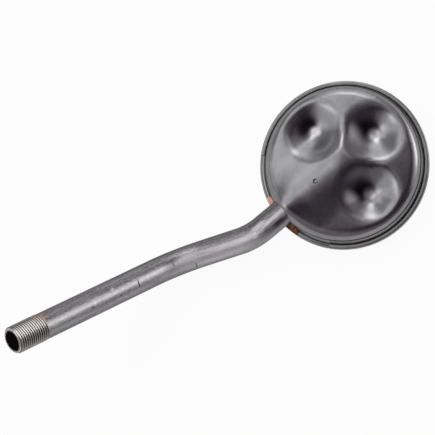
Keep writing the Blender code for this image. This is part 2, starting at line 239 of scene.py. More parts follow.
def loose_object(name: str, bm: bmesh.types.BMesh) -> bpy.types.Object:
    """Put a bmesh in a new object of the scene.

    Args:
        name: The object's name.
        bm: The mesh. It is freed.

    Returns:
        The new object.
    """
    mesh = bpy.data.meshes.new(name)
    bm.to_mesh(mesh)
    bm.free()
    made = bpy.data.objects.new(name, mesh)
    bpy.context.scene.collection.objects.link(made)
    return made


def cut(target: bpy.types.Object, cutter: bpy.types.Object) -> bmesh.types.BMesh:
    """Cut one loose object out of another, after the other's own modifiers, and remove both.

    Args:
        target: The object that is cut.
        cutter: The object that is taken out of it.

    Returns:
        What is left of the target.
    """
    taken = target.modifiers.new("cut", "BOOLEAN")
    taken.operation = "DIFFERENCE"
    taken.solver = "EXACT"
    taken.object = cutter
    graph = bpy.context.evaluated_depsgraph_get()
    mesh = bpy.data.meshes.new_from_object(target.evaluated_get(graph))
    bm = bmesh.new()
    bm.from_mesh(mesh)
    bpy.data.meshes.remove(mesh)
    for used in (target, cutter):
        bpy.data.objects.remove(used, do_unlink=True)
    return bm


def tube_space(sizes: Sizes, radius: float) -> bpy.types.Object:
    """Make the room that the tube takes up in the housing, for cutting a hole.

    Args:
        sizes: The sizes that place the tube.
        radius: The room's radius.

    Returns:
        A loose cylinder from the tube's inner end to past the rim.
    """
    start, end = sizes.wall_radius - sizes.tube_reach_in, sizes.rim_radius + sizes.tube_radius
    middle = Matrix.Translation(((start + end) / 2, 0, sizes.tube_height))
    bm = bmesh.new()
    bmesh.ops.create_cone(bm, cap_ends=True, segments=TUBE_SIDES, radius1=radius, radius2=radius,
                          depth=end - start, matrix=middle @ Matrix.Rotation(pi / 2, 4, "Y"))
    return loose_object("tube space", bm)


def finish_piece(bm: bmesh.types.BMesh, name: str, node: str, placement: Placement,
                 material: bpy.types.Material, crease: float = radians(32)) -> bpy.types.Object:
    """Args:
        bm: The piece in the strainer's own frame. It is freed.
        name: The piece's name.
        node: The CAD node that it stands for.
        placement: Where the strainer's own frame lies.
        material: The piece's material.
        crease: The angle from which an edge stays sharp.

    Returns:
        The finished object.
    """
    bmesh.ops.transform(bm, matrix=placement.matrix, verts=bm.verts)
    made = loose_object(name, bm)
    made.data.shade_smooth()
    made.data.set_sharp_from_angle(angle=crease)
    made.data.materials.append(material)
    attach(made, "root")
    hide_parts(node)
    LOG.info("%s: %d faces", name, len(made.data.polygons))
    return made


# Shader nodes


class Graph:
    """Adds and links the nodes of one shader tree."""

    def __init__(self, tree: bpy.types.NodeTree) -> None:
        """Keep the tree to work on."""
        self.tree = tree

    def add(self, kind: str, inputs: Optional[dict[Union[str, int], Value]] = None,
            **settings: Any) -> bpy.types.Node:
        """Add a node.

        Args:
            kind: The node's type.
            inputs: A constant or a socket for each named or numbered input.
            settings: The node's own settings.

        Returns:
            The new node.
        """
        node = self.tree.nodes.new(kind)
        node.location = (180 * (len(self.tree.nodes) % 12), -220 * (len(self.tree.nodes) // 12))
        for key, value in settings.items():
            setattr(node, key, value)
        for key, value in (inputs or {}).items():
            self.feed(node.inputs[key], value)
        return node

    def feed(self, target: Socket, value: Value) -> None:
        """Link a socket to an input, or set the input to a constant.

        Args:
            target: The input.
            value: A socket or a constant.
        """
        if isinstance(value, bpy.types.NodeSocket):
            self.tree.links.new(value, target)
        else:
            target.default_value = value

    def calc(self, operation: str, *values: Value, clamp: bool = False) -> Socket:
        """Return the result of a Math node."""
        made = self.add("ShaderNodeMath", dict(enumerate(values)), operation=operation, use_clamp=clamp)
        return made.outputs[0]

    def vector(self, operation: str, *values: Value, output: str = "Vector") -> Socket:
        """Return the result of a Vector Math node."""
        made = self.add("ShaderNodeVectorMath", dict(enumerate(values)), operation=operation)
        return made.outputs[output]

    def span(self, value: Value, low: float, high: float, to_low: float = 0.0, to_high: float = 1.0,
             soft: bool = True) -> Socket:
        """Carry a value from one range to another, and hold it at the ends.

        Args:
            value: The value.
            low: The first end of the range that it comes from.
            high: The second end, which may be the lower one.
            to_low: The result at the first end.
            to_high: The result at the second end.
            soft: Whether the change eases in and out.

        Returns:
            The result.
        """
        inputs = {"Value": value, "From Min": low, "From Max": high, "To Min": to_low, "To Max": to_high}
        made = self.add("ShaderNodeMapRange", inputs,
                        interpolation_type="SMOOTHSTEP" if soft else "LINEAR")
        return made.outputs["Result"]

    def fade(self, value: Value, at: float, ends: Point) -> Socket:
        """Return a share that goes from 0 to 1 between two distances from a place."""
        return self.span(value, at + ends[0], at + ends[1])

    def noise(self, place: Socket, scale: Value, detail: float = 3.0, rough: float = 0.55) -> Socket:
        """Return the value of a Noise Texture."""
        inputs = {"Vector": place, "Scale": scale, "Detail": detail, "Roughness": rough}
        return self.add("ShaderNodeTexNoise", inputs).outputs["Fac"]

    def tint(self, share: Value, first: Value, second: Value) -> Socket:
        """Mix two colours.

        Args:
            share: The second colour's share.
            first: A socket or three numbers.
            second: A socket or three numbers.

        Returns:
            The mixed colour.
        """
        ends = [value if isinstance(value, bpy.types.NodeSocket) else (*value, 1.0)
                for value in (first, second)]
        made = self.add("ShaderNodeMix", {0: share, 6: ends[0], 7: ends[1]}, data_type="RGBA")
        return made.outputs[2]

    def bump(self, height: Socket, distance: float, normal: Optional[Socket] = None) -> Socket:
        """Turn a height into a normal.

        Args:
            height: The height, from 0 to 1.
            distance: What a height of 1 stands for, in metres.
            normal: The normal to start from, if not the surface's own.

        Returns:
            The bumped normal.
        """
        inputs: dict[Union[str, int], Value] = {"Height": height, "Distance": distance, "Strength": 1.0}
        if normal is not None:
            inputs["Normal"] = normal
        return self.add("ShaderNodeBump", inputs).outputs["Normal"]


class Effects:
    """The node groups that the finishes share, each built once."""

    def __init__(self) -> None:
        """Build the groups."""
        self.stains = self._group("Stains", 60.0, ("Mask", "Fine"), self._stains)
        self.streaks = self._group("Drawn streaks", 900.0, ("Mask", "Height"), self._streaks)
        self.grain = self._group("Sheet grain", 2200.0, ("Height", "Specks"), self._grain)

    @staticmethod
    def _group(name: str, scale: float, outputs: Sequence[str],
               fill: Callable[[Graph, bpy.types.Node], dict[str, Socket]]) -> bpy.types.NodeTree:
        """Make a group that takes a place and a scale.

        Args:
            name: The group's name.
            scale: The scale that it has unless a material gives its own.
            outputs: The names of the outputs, which are all values.
            fill: Adds the group's nodes and returns a socket for each output.

        Returns:
            The group's tree.
        """
        tree = bpy.data.node_groups.new(name, "ShaderNodeTree")
        tree.interface.new_socket("Vector", in_out="INPUT", socket_type="NodeSocketVector")
        given = tree.interface.new_socket("Scale", in_out="INPUT", socket_type="NodeSocketFloat")
        given.default_value = scale
        for key in outputs:
            tree.interface.new_socket(key, in_out="OUTPUT", socket_type="NodeSocketFloat")
        graph = Graph(tree)
        results = fill(graph, graph.add("NodeGroupInput"))
        graph.add("NodeGroupOutput", {key: results[key] for key in outputs})
        return tree

    @staticmethod
    def _stains(graph: Graph, given: bpy.types.Node) -> dict[str, Socket]:
        """Broad cloudy patches, as a film of oil leaves, and a finer mottling."""
        place, scale = given.outputs["Vector"], given.outputs["Scale"]
        broad = graph.noise(place, scale, detail=4.0, rough=0.6)
        fine = graph.noise(place, graph.calc("MULTIPLY", scale, 5.3), detail=5.0, rough=0.65)
        mask = graph.span(graph.calc("ADD", broad, graph.calc("MULTIPLY", fine, 0.35)), 0.52, 0.86)
        return {"Mask": mask, "Fine": graph.span(fine, 0.3, 0.7, soft=False)}

    @staticmethod
    def _streaks(graph: Graph, given: bpy.types.Node) -> dict[str, Socket]:
        """Fine lines along X, as drawing through a die leaves."""
        place = graph.vector("MULTIPLY", given.outputs["Vector"], (0.02, 1.0, 1.0))
        lines = graph.noise(place, given.outputs["Scale"], detail=5.0, rough=0.7)
        wide = graph.noise(place, graph.calc("MULTIPLY", given.outputs["Scale"], 0.28), detail=2.0)
        return {"Mask": graph.span(graph.calc("ADD", lines, wide), 0.85, 1.2), "Height": lines}

    @staticmethod
    def _grain(graph: Graph, given: bpy.types.Node) -> dict[str, Socket]:
        """The fine grain of pressed sheet, and scattered specks."""
        place, scale = given.outputs["Vector"], given.outputs["Scale"]
        height = graph.noise(place, scale, detail=4.0, rough=0.7)
        specks = graph.span(graph.noise(place, graph.calc("MULTIPLY", scale, 0.35), detail=2.0), 0.66, 0.74)
        return {"Height": height, "Specks": specks}


# Finishes

MaskMaker = Callable[[Graph, Socket], Socket]
PairMaker = Callable[[Graph, Socket], tuple[Socket, Socket]]


def principled(name: str, roughness: float = 0.5,
               metallic: float = 1.0) -> tuple[bpy.types.Material, Graph, bpy.types.Node]:
    """Make a material with the plain values of its Principled shader set.

    Args:
        name: The material's name.
        roughness: The shader's roughness.
        metallic: The shader's metallic.

    Returns:
        The material, its graph and its shader.
    """
    material = bpy.data.materials.new(name)
    material.use_nodes = True
    shader = material.node_tree.nodes["Principled BSDF"]
    shader.inputs["Metallic"].default_value = metallic
    shader.inputs["Roughness"].default_value = roughness
    shader.inputs["Coat Roughness"].default_value = 0.12
    return material, Graph(material.node_tree), shader


@dataclass(frozen=True)
class Mark:
    """A mark on the tube, placed on the straight tube: its distance along, its two axes across."""

    place: tuple[float, float, float]
    along: float
    across: float
    share: float

    def mask(self, graph: Graph, place: Socket) -> Socket:
        """Return the mark's share at a point, which fades out at its reach along and across.

        Args:
            graph: The material's graph.
            place: The straight tube's coordinates.

        Returns:
            The mark's mask.
        """
        scale = (1 / self.along, 1 / self.across, 1 / self.across)
        offset = graph.vector("MULTIPLY", graph.vector("SUBTRACT", place, self.place), scale)
        reach = graph.vector("LENGTH", offset, output="Value")
        return graph.span(reach, 1.0, 0.35, 0.0, self.share)


@dataclass(frozen=True)
class Side:
    """A side of the straight tube on which a finish is stronger.

    It has its turn about the tube, the cosines from that turn at which the finish starts and is whole,
    and the shares that it has there.
    """

    turn: float
    starts: float
    whole: float
    least: float = 0.0
    most: float = 1.0

    def mask(self, graph: Graph, place: Socket, radius: Socket) -> Socket:
        """Return the side's share at a point.

        Args:
            graph: The material's graph.
            place: The straight tube's coordinates.
            radius: The point's distance from the centre line.

        Returns:
            The side's mask.
        """
        aim = (0.0, cos(self.turn), sin(self.turn))
        facing = graph.calc("DIVIDE", graph.vector("DOT_PRODUCT", place, aim, output="Value"), radius)
        return graph.span(facing, self.starts, self.whole, self.least, self.most)


@dataclass(frozen=True)
class TubeFinish:
    """Drawn steel tube, mottled by oil and painted darker on one side as shade, with a rubbed line and bright
    marks painted light as a highlight streak, a rolled thread whose roots are painted dark as shade and whose
    crests are painted light on one side as a highlight, and a bore painted dark as shade.

    Each fade is a pair of distances, from the thread's inner end, the end face or the bore's radius.
    """

    clean: Color = (0.41, 0.405, 0.41)
    oiled: Color = (0.150, 0.143, 0.150)
    # Painted highlight: the near-white colour of the rubbed line and the bright marks.
    rubbed_highlight: Color = (0.97, 0.96, 0.97)
    faced: Color = (0.66, 0.65, 0.64)
    crest: Color = (0.34, 0.325, 0.31)
    # Painted highlight: the crests' light colour on one side of the thread.
    painted_crest_highlight: Color = (0.95, 0.93, 0.90)
    # Painted shade: the dark colour of the thread's roots. The dark nicks use it too.
    root: Color = (0.045, 0.041, 0.041)
    # Painted shade: the near-black colour inside the bore.
    bore: Color = (0.008, 0.006, 0.008)
    tarnish: Color = (0.45, 0.28, 0.17)
    smooth: float = 0.27
    dull: float = 0.42
    scuffed: float = 0.22
    scoured: float = 0.72
    mottle_share: float = 0.48
    fine_share: float = 0.22
    streak_share: float = 0.30
    stain_share: float = 0.22
    faced_share: float = 0.9
    # Share of the painted shade that darkens the thread's crests on the shaded side.
    crest_painted_shade: float = 1.8
    crest_fade: float = 0.0001
    bore_rough: float = 0.5
    nick_depth: float = 2.0
    stretch: float = 0.27
    stain_scale: float = 150.0
    mottle_scale: float = 1700.0
    patch_scale: float = 330.0
    relief: float = 0.00004
    # Painted highlight: the rubbed line along this side.
    rubbed_highlight_side: Side = Side(radians(-14), 0.93, 0.998)
    # Painted shade: this side of the tube is darkened towards the oiled colour.
    painted_shade_side: Side = Side(radians(75), 0.2, 0.95, 0.0, 0.34)
    browned_side: Side = Side(radians(48), 0.55, 0.95, 0.12, 0.75)
    # Painted highlight: the side on which the crests are painted light.
    crest_highlight_side: Side = Side(radians(18), 0.80, 0.985)
    rubbed_highlight_end: Point = (0.075, 0.100)
    thread_fade: Point = (-0.0012, 0.0006)
    brown_rise: Point = (-0.006, -0.001)
    brown_fall: Point = (0.007, 0.001)
    face_fade: Point = (-0.0006, -0.0004)
    bore_fade: Point = (0.00045, -0.00005)
    # Bright marks: patches painted near-white as highlights, also rougher and less metallic.
    highlight_marks: tuple[Mark, ...] = (
        Mark((0.0281, 0.0077, -0.0023), 0.0038, 0.0034, 1.0),
        Mark((0.0230, 0.0076, 0.0005), 0.0080, 0.0028, 0.5),
        Mark((0.0735, 0.0078, -0.0018), 0.0180, 0.0040, 0.90),
        Mark((0.0560, 0.0068, -0.0042), 0.0480, 0.0056, 0.85),
        Mark((0.1330, 0.0080, 0.0010), 0.0020, 0.0014, 0.45),
        Mark((0.1480, 0.0077, -0.0020), 0.0016, 0.0012, 0.40),
        Mark((0.1860, 0.0062, 0.0052), 0.0030, 0.0030, 0.6),
    )
    dark_marks: tuple[Mark, ...] = (
        Mark((0.1141, 0.0074, -0.0029), 0.0006, 0.0034, 0.95),
        Mark((0.0842, 0.0079, -0.0014), 0.0006, 0.0030, 0.75),
        Mark((0.0682, 0.0046, -0.0066), 0.0007, 0.0032, 0.85),
        Mark((0.1285, 0.0066, -0.0045), 0.0009, 0.0010, 0.9),
        Mark((0.1500, 0.0072, -0.0034), 0.0020, 0.0008, 0.6),
        Mark((0.0120, 0.0062, -0.0050), 0.0060, 0.0030, 0.6),
    )

    def _worn(self, graph: Graph, place: Socket, side: Socket,
              base: Socket, wear: Socket) -> tuple[Socket, Socket, Socket]:
        """Add the rubbed line along the tube and the bright marks, scuffed rougher and painted near-white as
        a highlight, and the dark nicks.

        Args:
            graph: The material's graph.
            place: The straight tube's coordinates.
            side: The mask of the side with the rubbed line painted as a highlight.
            base: The colour so far.
            wear: The wear so far.

        Returns:
            The colour, the mask of the rubbed line and bright marks painted as a highlight, and the dark
            marks' mask.
        """
        patchy = graph.noise(graph.vector("MULTIPLY", place, (0.10, 1.0, 1.0)), self.patch_scale)
        distance = graph.add("ShaderNodeSeparateXYZ", {"Vector": place}).outputs["X"]
        rubbed_highlight = graph.calc("MULTIPLY", side, graph.span(patchy, 0.30, 0.62, 0.35, 1.0))
        rubbed_highlight = graph.calc("MULTIPLY", rubbed_highlight, graph.span(distance, *self.rubbed_highlight_end, 1.0, 0.10))
        for mark in self.highlight_marks:
            rubbed_highlight = graph.calc("MAXIMUM", rubbed_highlight, mark.mask(graph, place))
        rubbed_highlight = graph.calc("MULTIPLY", rubbed_highlight, graph.calc("MULTIPLY_ADD", wear, 0.35, 0.65))
        dark: Value = 0.0
        for mark in self.dark_marks:
            dark = graph.calc("MAXIMUM", mark.mask(graph, place), dark)
        return graph.tint(dark, graph.tint(rubbed_highlight, base, self.rubbed_highlight), self.root), rubbed_highlight, dark

    def material(self, effects: Effects, length: float, thread: float, root_radius: float,
                 crest_radius: float, bore_radius: float) -> bpy.types.Material:
        """Return the tube's material, which reads the straight tube's coordinates from an attribute.

        Args:
            effects: The shared node groups.
            length: The tube's length along its centre line.
            thread: The thread's length.
            root_radius: Radius of the thread's roots.
            crest_radius: Radius of the thread's crests.
            bore_radius: Radius of the bore.

        Returns:
            The material.
        """
        material, graph, shader = principled("drawn tube steel")
        shader.inputs["Specular Tint"].default_value = (0.42, 0.42, 0.43, 1.0)
        shader.inputs["Specular IOR Level"].default_value = 0.0
        place = graph.add("ShaderNodeAttribute", attribute_name="unbent").outputs["Vector"]
        parts = graph.add("ShaderNodeSeparateXYZ", {"Vector": place}).outputs
        radius = graph.calc("SQRT", graph.calc("ADD", graph.calc("MULTIPLY", parts["Y"], parts["Y"]),
                                               graph.calc("MULTIPLY", parts["Z"], parts["Z"])))
        streaks = graph.add("ShaderNodeGroup", {"Vector": place}, node_tree=effects.streaks)
        stretched = graph.vector("MULTIPLY", place, (self.stretch, 1.0, 1.0))
        stains = graph.add("ShaderNodeGroup", {"Vector": stretched, "Scale": self.stain_scale},
                           node_tree=effects.stains)
        mottle = graph.noise(stretched, self.mottle_scale, rough=0.7)

        wear = graph.calc("MULTIPLY", graph.span(mottle, 0.36, 0.64, soft=False), self.mottle_share)
        wear = graph.calc("MULTIPLY_ADD", stains.outputs["Fine"], self.fine_share, wear)
        wear = graph.calc("MULTIPLY_ADD", streaks.outputs["Mask"], self.streak_share, wear)
        # Painted shade: one side of the tube is darkened towards the oiled colour, on top of the real oil
        # stains and mottling.
        shaded = self.painted_shade_side.mask(graph, place, radius)
        stains_and_painted_shade = graph.calc("MULTIPLY_ADD", stains.outputs["Mask"], self.stain_share, shaded)
        wear = graph.calc("SUBTRACT", wear, stains_and_painted_shade, clamp=True)
        base = graph.tint(wear, self.oiled, self.clean)
        # Painted highlight: a rubbed line and bright patches painted near-white, scuffed rougher and less
        # metallic.
        side = self.rubbed_highlight_side.mask(graph, place, radius)
        base, rubbed_highlight, dark = self._worn(graph, place, side, base, wear)

        threaded = graph.fade(parts["X"], length - thread, self.thread_fade)
        height = graph.span(radius, root_radius, crest_radius - self.crest_fade)
        # Crests painted light on one side as a highlight, and darker on the shaded side as painted shade.
        crest = graph.tint(self.crest_highlight_side.mask(graph, place, radius), self.crest, self.painted_crest_highlight)
        crest = graph.tint(graph.calc("MULTIPLY", shaded, self.crest_painted_shade, clamp=True), crest, self.oiled)
        # Painted shade: the thread's roots are painted dark.
        base = graph.tint(threaded, base, graph.tint(height, self.root, crest))
        band = graph.calc("MULTIPLY", graph.fade(parts["X"], length - thread, self.brown_rise),
                          graph.fade(parts["X"], length - thread, self.brown_fall))
        browned = graph.calc("MULTIPLY", band, self.browned_side.mask(graph, place, radius))
        browned = graph.calc("MULTIPLY", browned, graph.span(stains.outputs["Fine"], 0.30, 0.70))
        base = graph.tint(browned, base, self.tarnish)
        face = graph.fade(parts["X"], length, self.face_fade)
        base = graph.tint(graph.calc("MULTIPLY", face, self.faced_share), base, self.faced)
        # Painted shade: the bore is painted dark.
        inside = graph.fade(radius, bore_radius, self.bore_fade)
        graph.feed(shader.inputs["Base Color"], graph.tint(inside, base, self.bore))
        bare = graph.calc("SUBTRACT", 1.0, graph.calc("MULTIPLY", rubbed_highlight, self.scoured))
        graph.feed(shader.inputs["Metallic"],
                   graph.calc("MULTIPLY", bare, graph.calc("SUBTRACT", 1.0, inside)))

        rough = graph.span(wear, 0.0, 1.0, self.smooth, self.dull, soft=False)
        rough = graph.calc("MULTIPLY_ADD", rubbed_highlight, self.scuffed, rough)
        graph.feed(shader.inputs["Roughness"], graph.calc("MULTIPLY_ADD", inside, self.bore_rough, rough))
        level = graph.calc("MULTIPLY_ADD", streaks.outputs["Height"], 0.5, mottle)
        level = graph.calc("SUBTRACT", level, graph.calc("MULTIPLY", dark, self.nick_depth))
        graph.feed(shader.inputs["Normal"], graph.bump(level, self.relief))
        return material


@dataclass(frozen=True)
class SheetFinish:
    """Pressed sheet steel, dark with a film of oil."""

    name: str
    clean: Color
    oiled: Color
    smooth: float = 0.22
    dull: float = 0.38
    film: float = 0.35
    speck_share: float = 0.15
    wave_scale: float = 85.0
    waves: float = 0.00010
    grain_relief: float = 0.00002
    nick_depth: float = 0.00025
    # Painted shade: the near-black colour beside the dimples' floors. The nicks use it too.
    shade_and_nick_dark: Color = (0.030, 0.026, 0.029)
    # A lighter colour for the dimples' floors: polish from the punch, and a painted highlight.
    polish_and_highlight: Color = (0.46, 0.455, 0.465)

    def material(self, effects: Effects, painted_shade_and_highlight: Optional[PairMaker] = None,
                 nicks: Optional[MaskMaker] = None) -> bpy.types.Material:
        """Return the material.

        Args:
            effects: The shared node groups.
            painted_shade_and_highlight: Adds the masks of the painted shade beside the dimples' floors and of
                the floors painted lighter, polished by the punch and as a highlight, from the object's
                coordinates.
            nicks: Adds the mask of nicks in the sheet, from the object's coordinates.

        Returns:
            The material.
        """
        material, graph, shader = principled(self.name)
        shader.inputs["Specular Tint"].default_value = (0.6, 0.6, 0.6, 1.0)
        place = graph.add("ShaderNodeTexCoord").outputs["Object"]
        stains = graph.add("ShaderNodeGroup", {"Vector": place}, node_tree=effects.stains)
        grain = graph.add("ShaderNodeGroup", {"Vector": place}, node_tree=effects.grain)
        mask, fine = stains.outputs["Mask"], stains.outputs["Fine"]
        base = graph.tint(mask, self.clean, self.oiled)
        specks = graph.calc("MULTIPLY", grain.outputs["Specks"], self.speck_share)
        base = graph.tint(specks, base, self.oiled)
        wet = graph.calc("MULTIPLY_ADD", mask, 0.5, graph.calc("MULTIPLY", fine, 0.5))
        rough = graph.span(wet, 0.0, 1.0, self.dull, self.smooth, soft=False)
        film = graph.span(mask, 0.0, 1.0, self.film * 0.4, self.film)
        # Painted shade beside the dimples' floors, and the floors painted lighter as polish and highlight.
        if painted_shade_and_highlight is not None:
            shade_and_nick_dark, polish_and_highlight = painted_shade_and_highlight(graph, place)
            base = graph.tint(polish_and_highlight, graph.tint(shade_and_nick_dark, base, self.shade_and_nick_dark), self.polish_and_highlight)
        normal = graph.bump(graph.noise(place, self.wave_scale, detail=2.0), self.waves)
        normal = graph.bump(grain.outputs["Height"], self.grain_relief, normal=normal)
        if nicks is not None:
            nicked = nicks(graph, place)
            base = graph.tint(nicked, base, self.shade_and_nick_dark)
            normal = graph.bump(graph.calc("SUBTRACT", 1.0, nicked), self.nick_depth, normal=normal)
        graph.feed(shader.inputs["Base Color"], base)
        graph.feed(shader.inputs["Roughness"], rough)
        graph.feed(shader.inputs["Coat Weight"], film)
        graph.feed(shader.inputs["Normal"], normal)
        return material


@dataclass(frozen=True)
class BrazeFinish:
    """Copper filler metal, with burnt dark patches, and painted darker as shade on the bead away from the lit
    side.
    """

    bright: Color = (0.74, 0.42, 0.31)
    # The dark colour of the burnt patches, also used as painted shade on the bead away from the lit side.
    burnt_and_shaded: Color = (0.16, 0.055, 0.03)
    stain_scale: float = 260.0
    relief: float = 0.00012

    def material(self, effects: Effects, lit_side: Vector) -> bpy.types.Material:
        """Return the braze's material, painted darker as shade towards one side, with burnt patches.

        Args:
            effects: The shared node groups.
            lit_side: Points from the bead painted in shade to the lit one, with a length of one over their
                distance.

        Returns:
            The material.
        """
        material, graph, shader = principled("copper braze")
        place = graph.add("ShaderNodeTexCoord").outputs["Object"]
        stains = graph.add("ShaderNodeGroup", {"Vector": place, "Scale": self.stain_scale},
                           node_tree=effects.stains)
        # Painted shade: the bead away from the lit side is darkened, besides the burnt patches.
        along = graph.vector("DOT_PRODUCT", place, tuple(lit_side), output="Value")
        share = graph.calc("ADD", graph.span(along, -0.5, 0.5, 0.75, -0.15),
                           graph.calc("MULTIPLY", stains.outputs["Mask"], 0.5), clamp=True)
        graph.feed(shader.inputs["Base Color"], graph.tint(share, self.bright, self.burnt_and_shaded))
        graph.feed(shader.inputs["Roughness"], graph.span(share, 0.0, 1.0, 0.3, 0.55, soft=False))
        graph.feed(shader.inputs["Normal"], graph.bump(stains.outputs["Fine"], self.relief))
        return material


@dataclass(frozen=True)
class PaperFinish:
    """White paper, which stays white to the camera and in reflections, and is clear from underneath."""

    color: Color = (0.86, 0.86, 0.86)
    share: float = 0.94

    def material(self) -> bpy.types.Material:
        """Make the paper's material.

        Returns:
            The material.
        """
        material, graph, shader = principled("white paper", roughness=0.9, metallic=0.0)
        shader.inputs["Base Color"].default_value = (*self.color, 1.0)
        path = graph.add("ShaderNodeLightPath")
        seen = graph.calc("ADD", path.outputs["Is Camera Ray"], path.outputs["Is Glossy Ray"], clamp=True)
        seen = graph.calc("ADD", seen, path.outputs["Is Transmission Ray"], clamp=True)
        white = graph.add("ShaderNodeEmission", {"Color": (1.0, 1.0, 1.0, 1.0), "Strength": 1.0})
        mix = graph.add("ShaderNodeMixShader", {0: graph.calc("MULTIPLY", seen, self.share),
                                                1: shader.outputs["BSDF"], 2: white.outputs["Emission"]})
        below = graph.calc("MULTIPLY", graph.add("ShaderNodeNewGeometry").outputs["Backfacing"],
                           path.outputs["Is Camera Ray"])
        clear = graph.add("ShaderNodeBsdfTransparent")
        mix = graph.add("ShaderNodeMixShader", {0: below, 1: mix.outputs["Shader"], 2: clear.outputs["BSDF"]})
        output = material.node_tree.nodes["Material Output"]
        graph.feed(output.inputs["Surface"], mix.outputs["Shader"])
        return material


# Sub-assemblies


@dataclass
class Station:
    """A point on the tube's centre line, with its distance along it and the axes across it."""

    point: Vector
    distance: float
    along: Vector
    first: Vector
    second: Vector


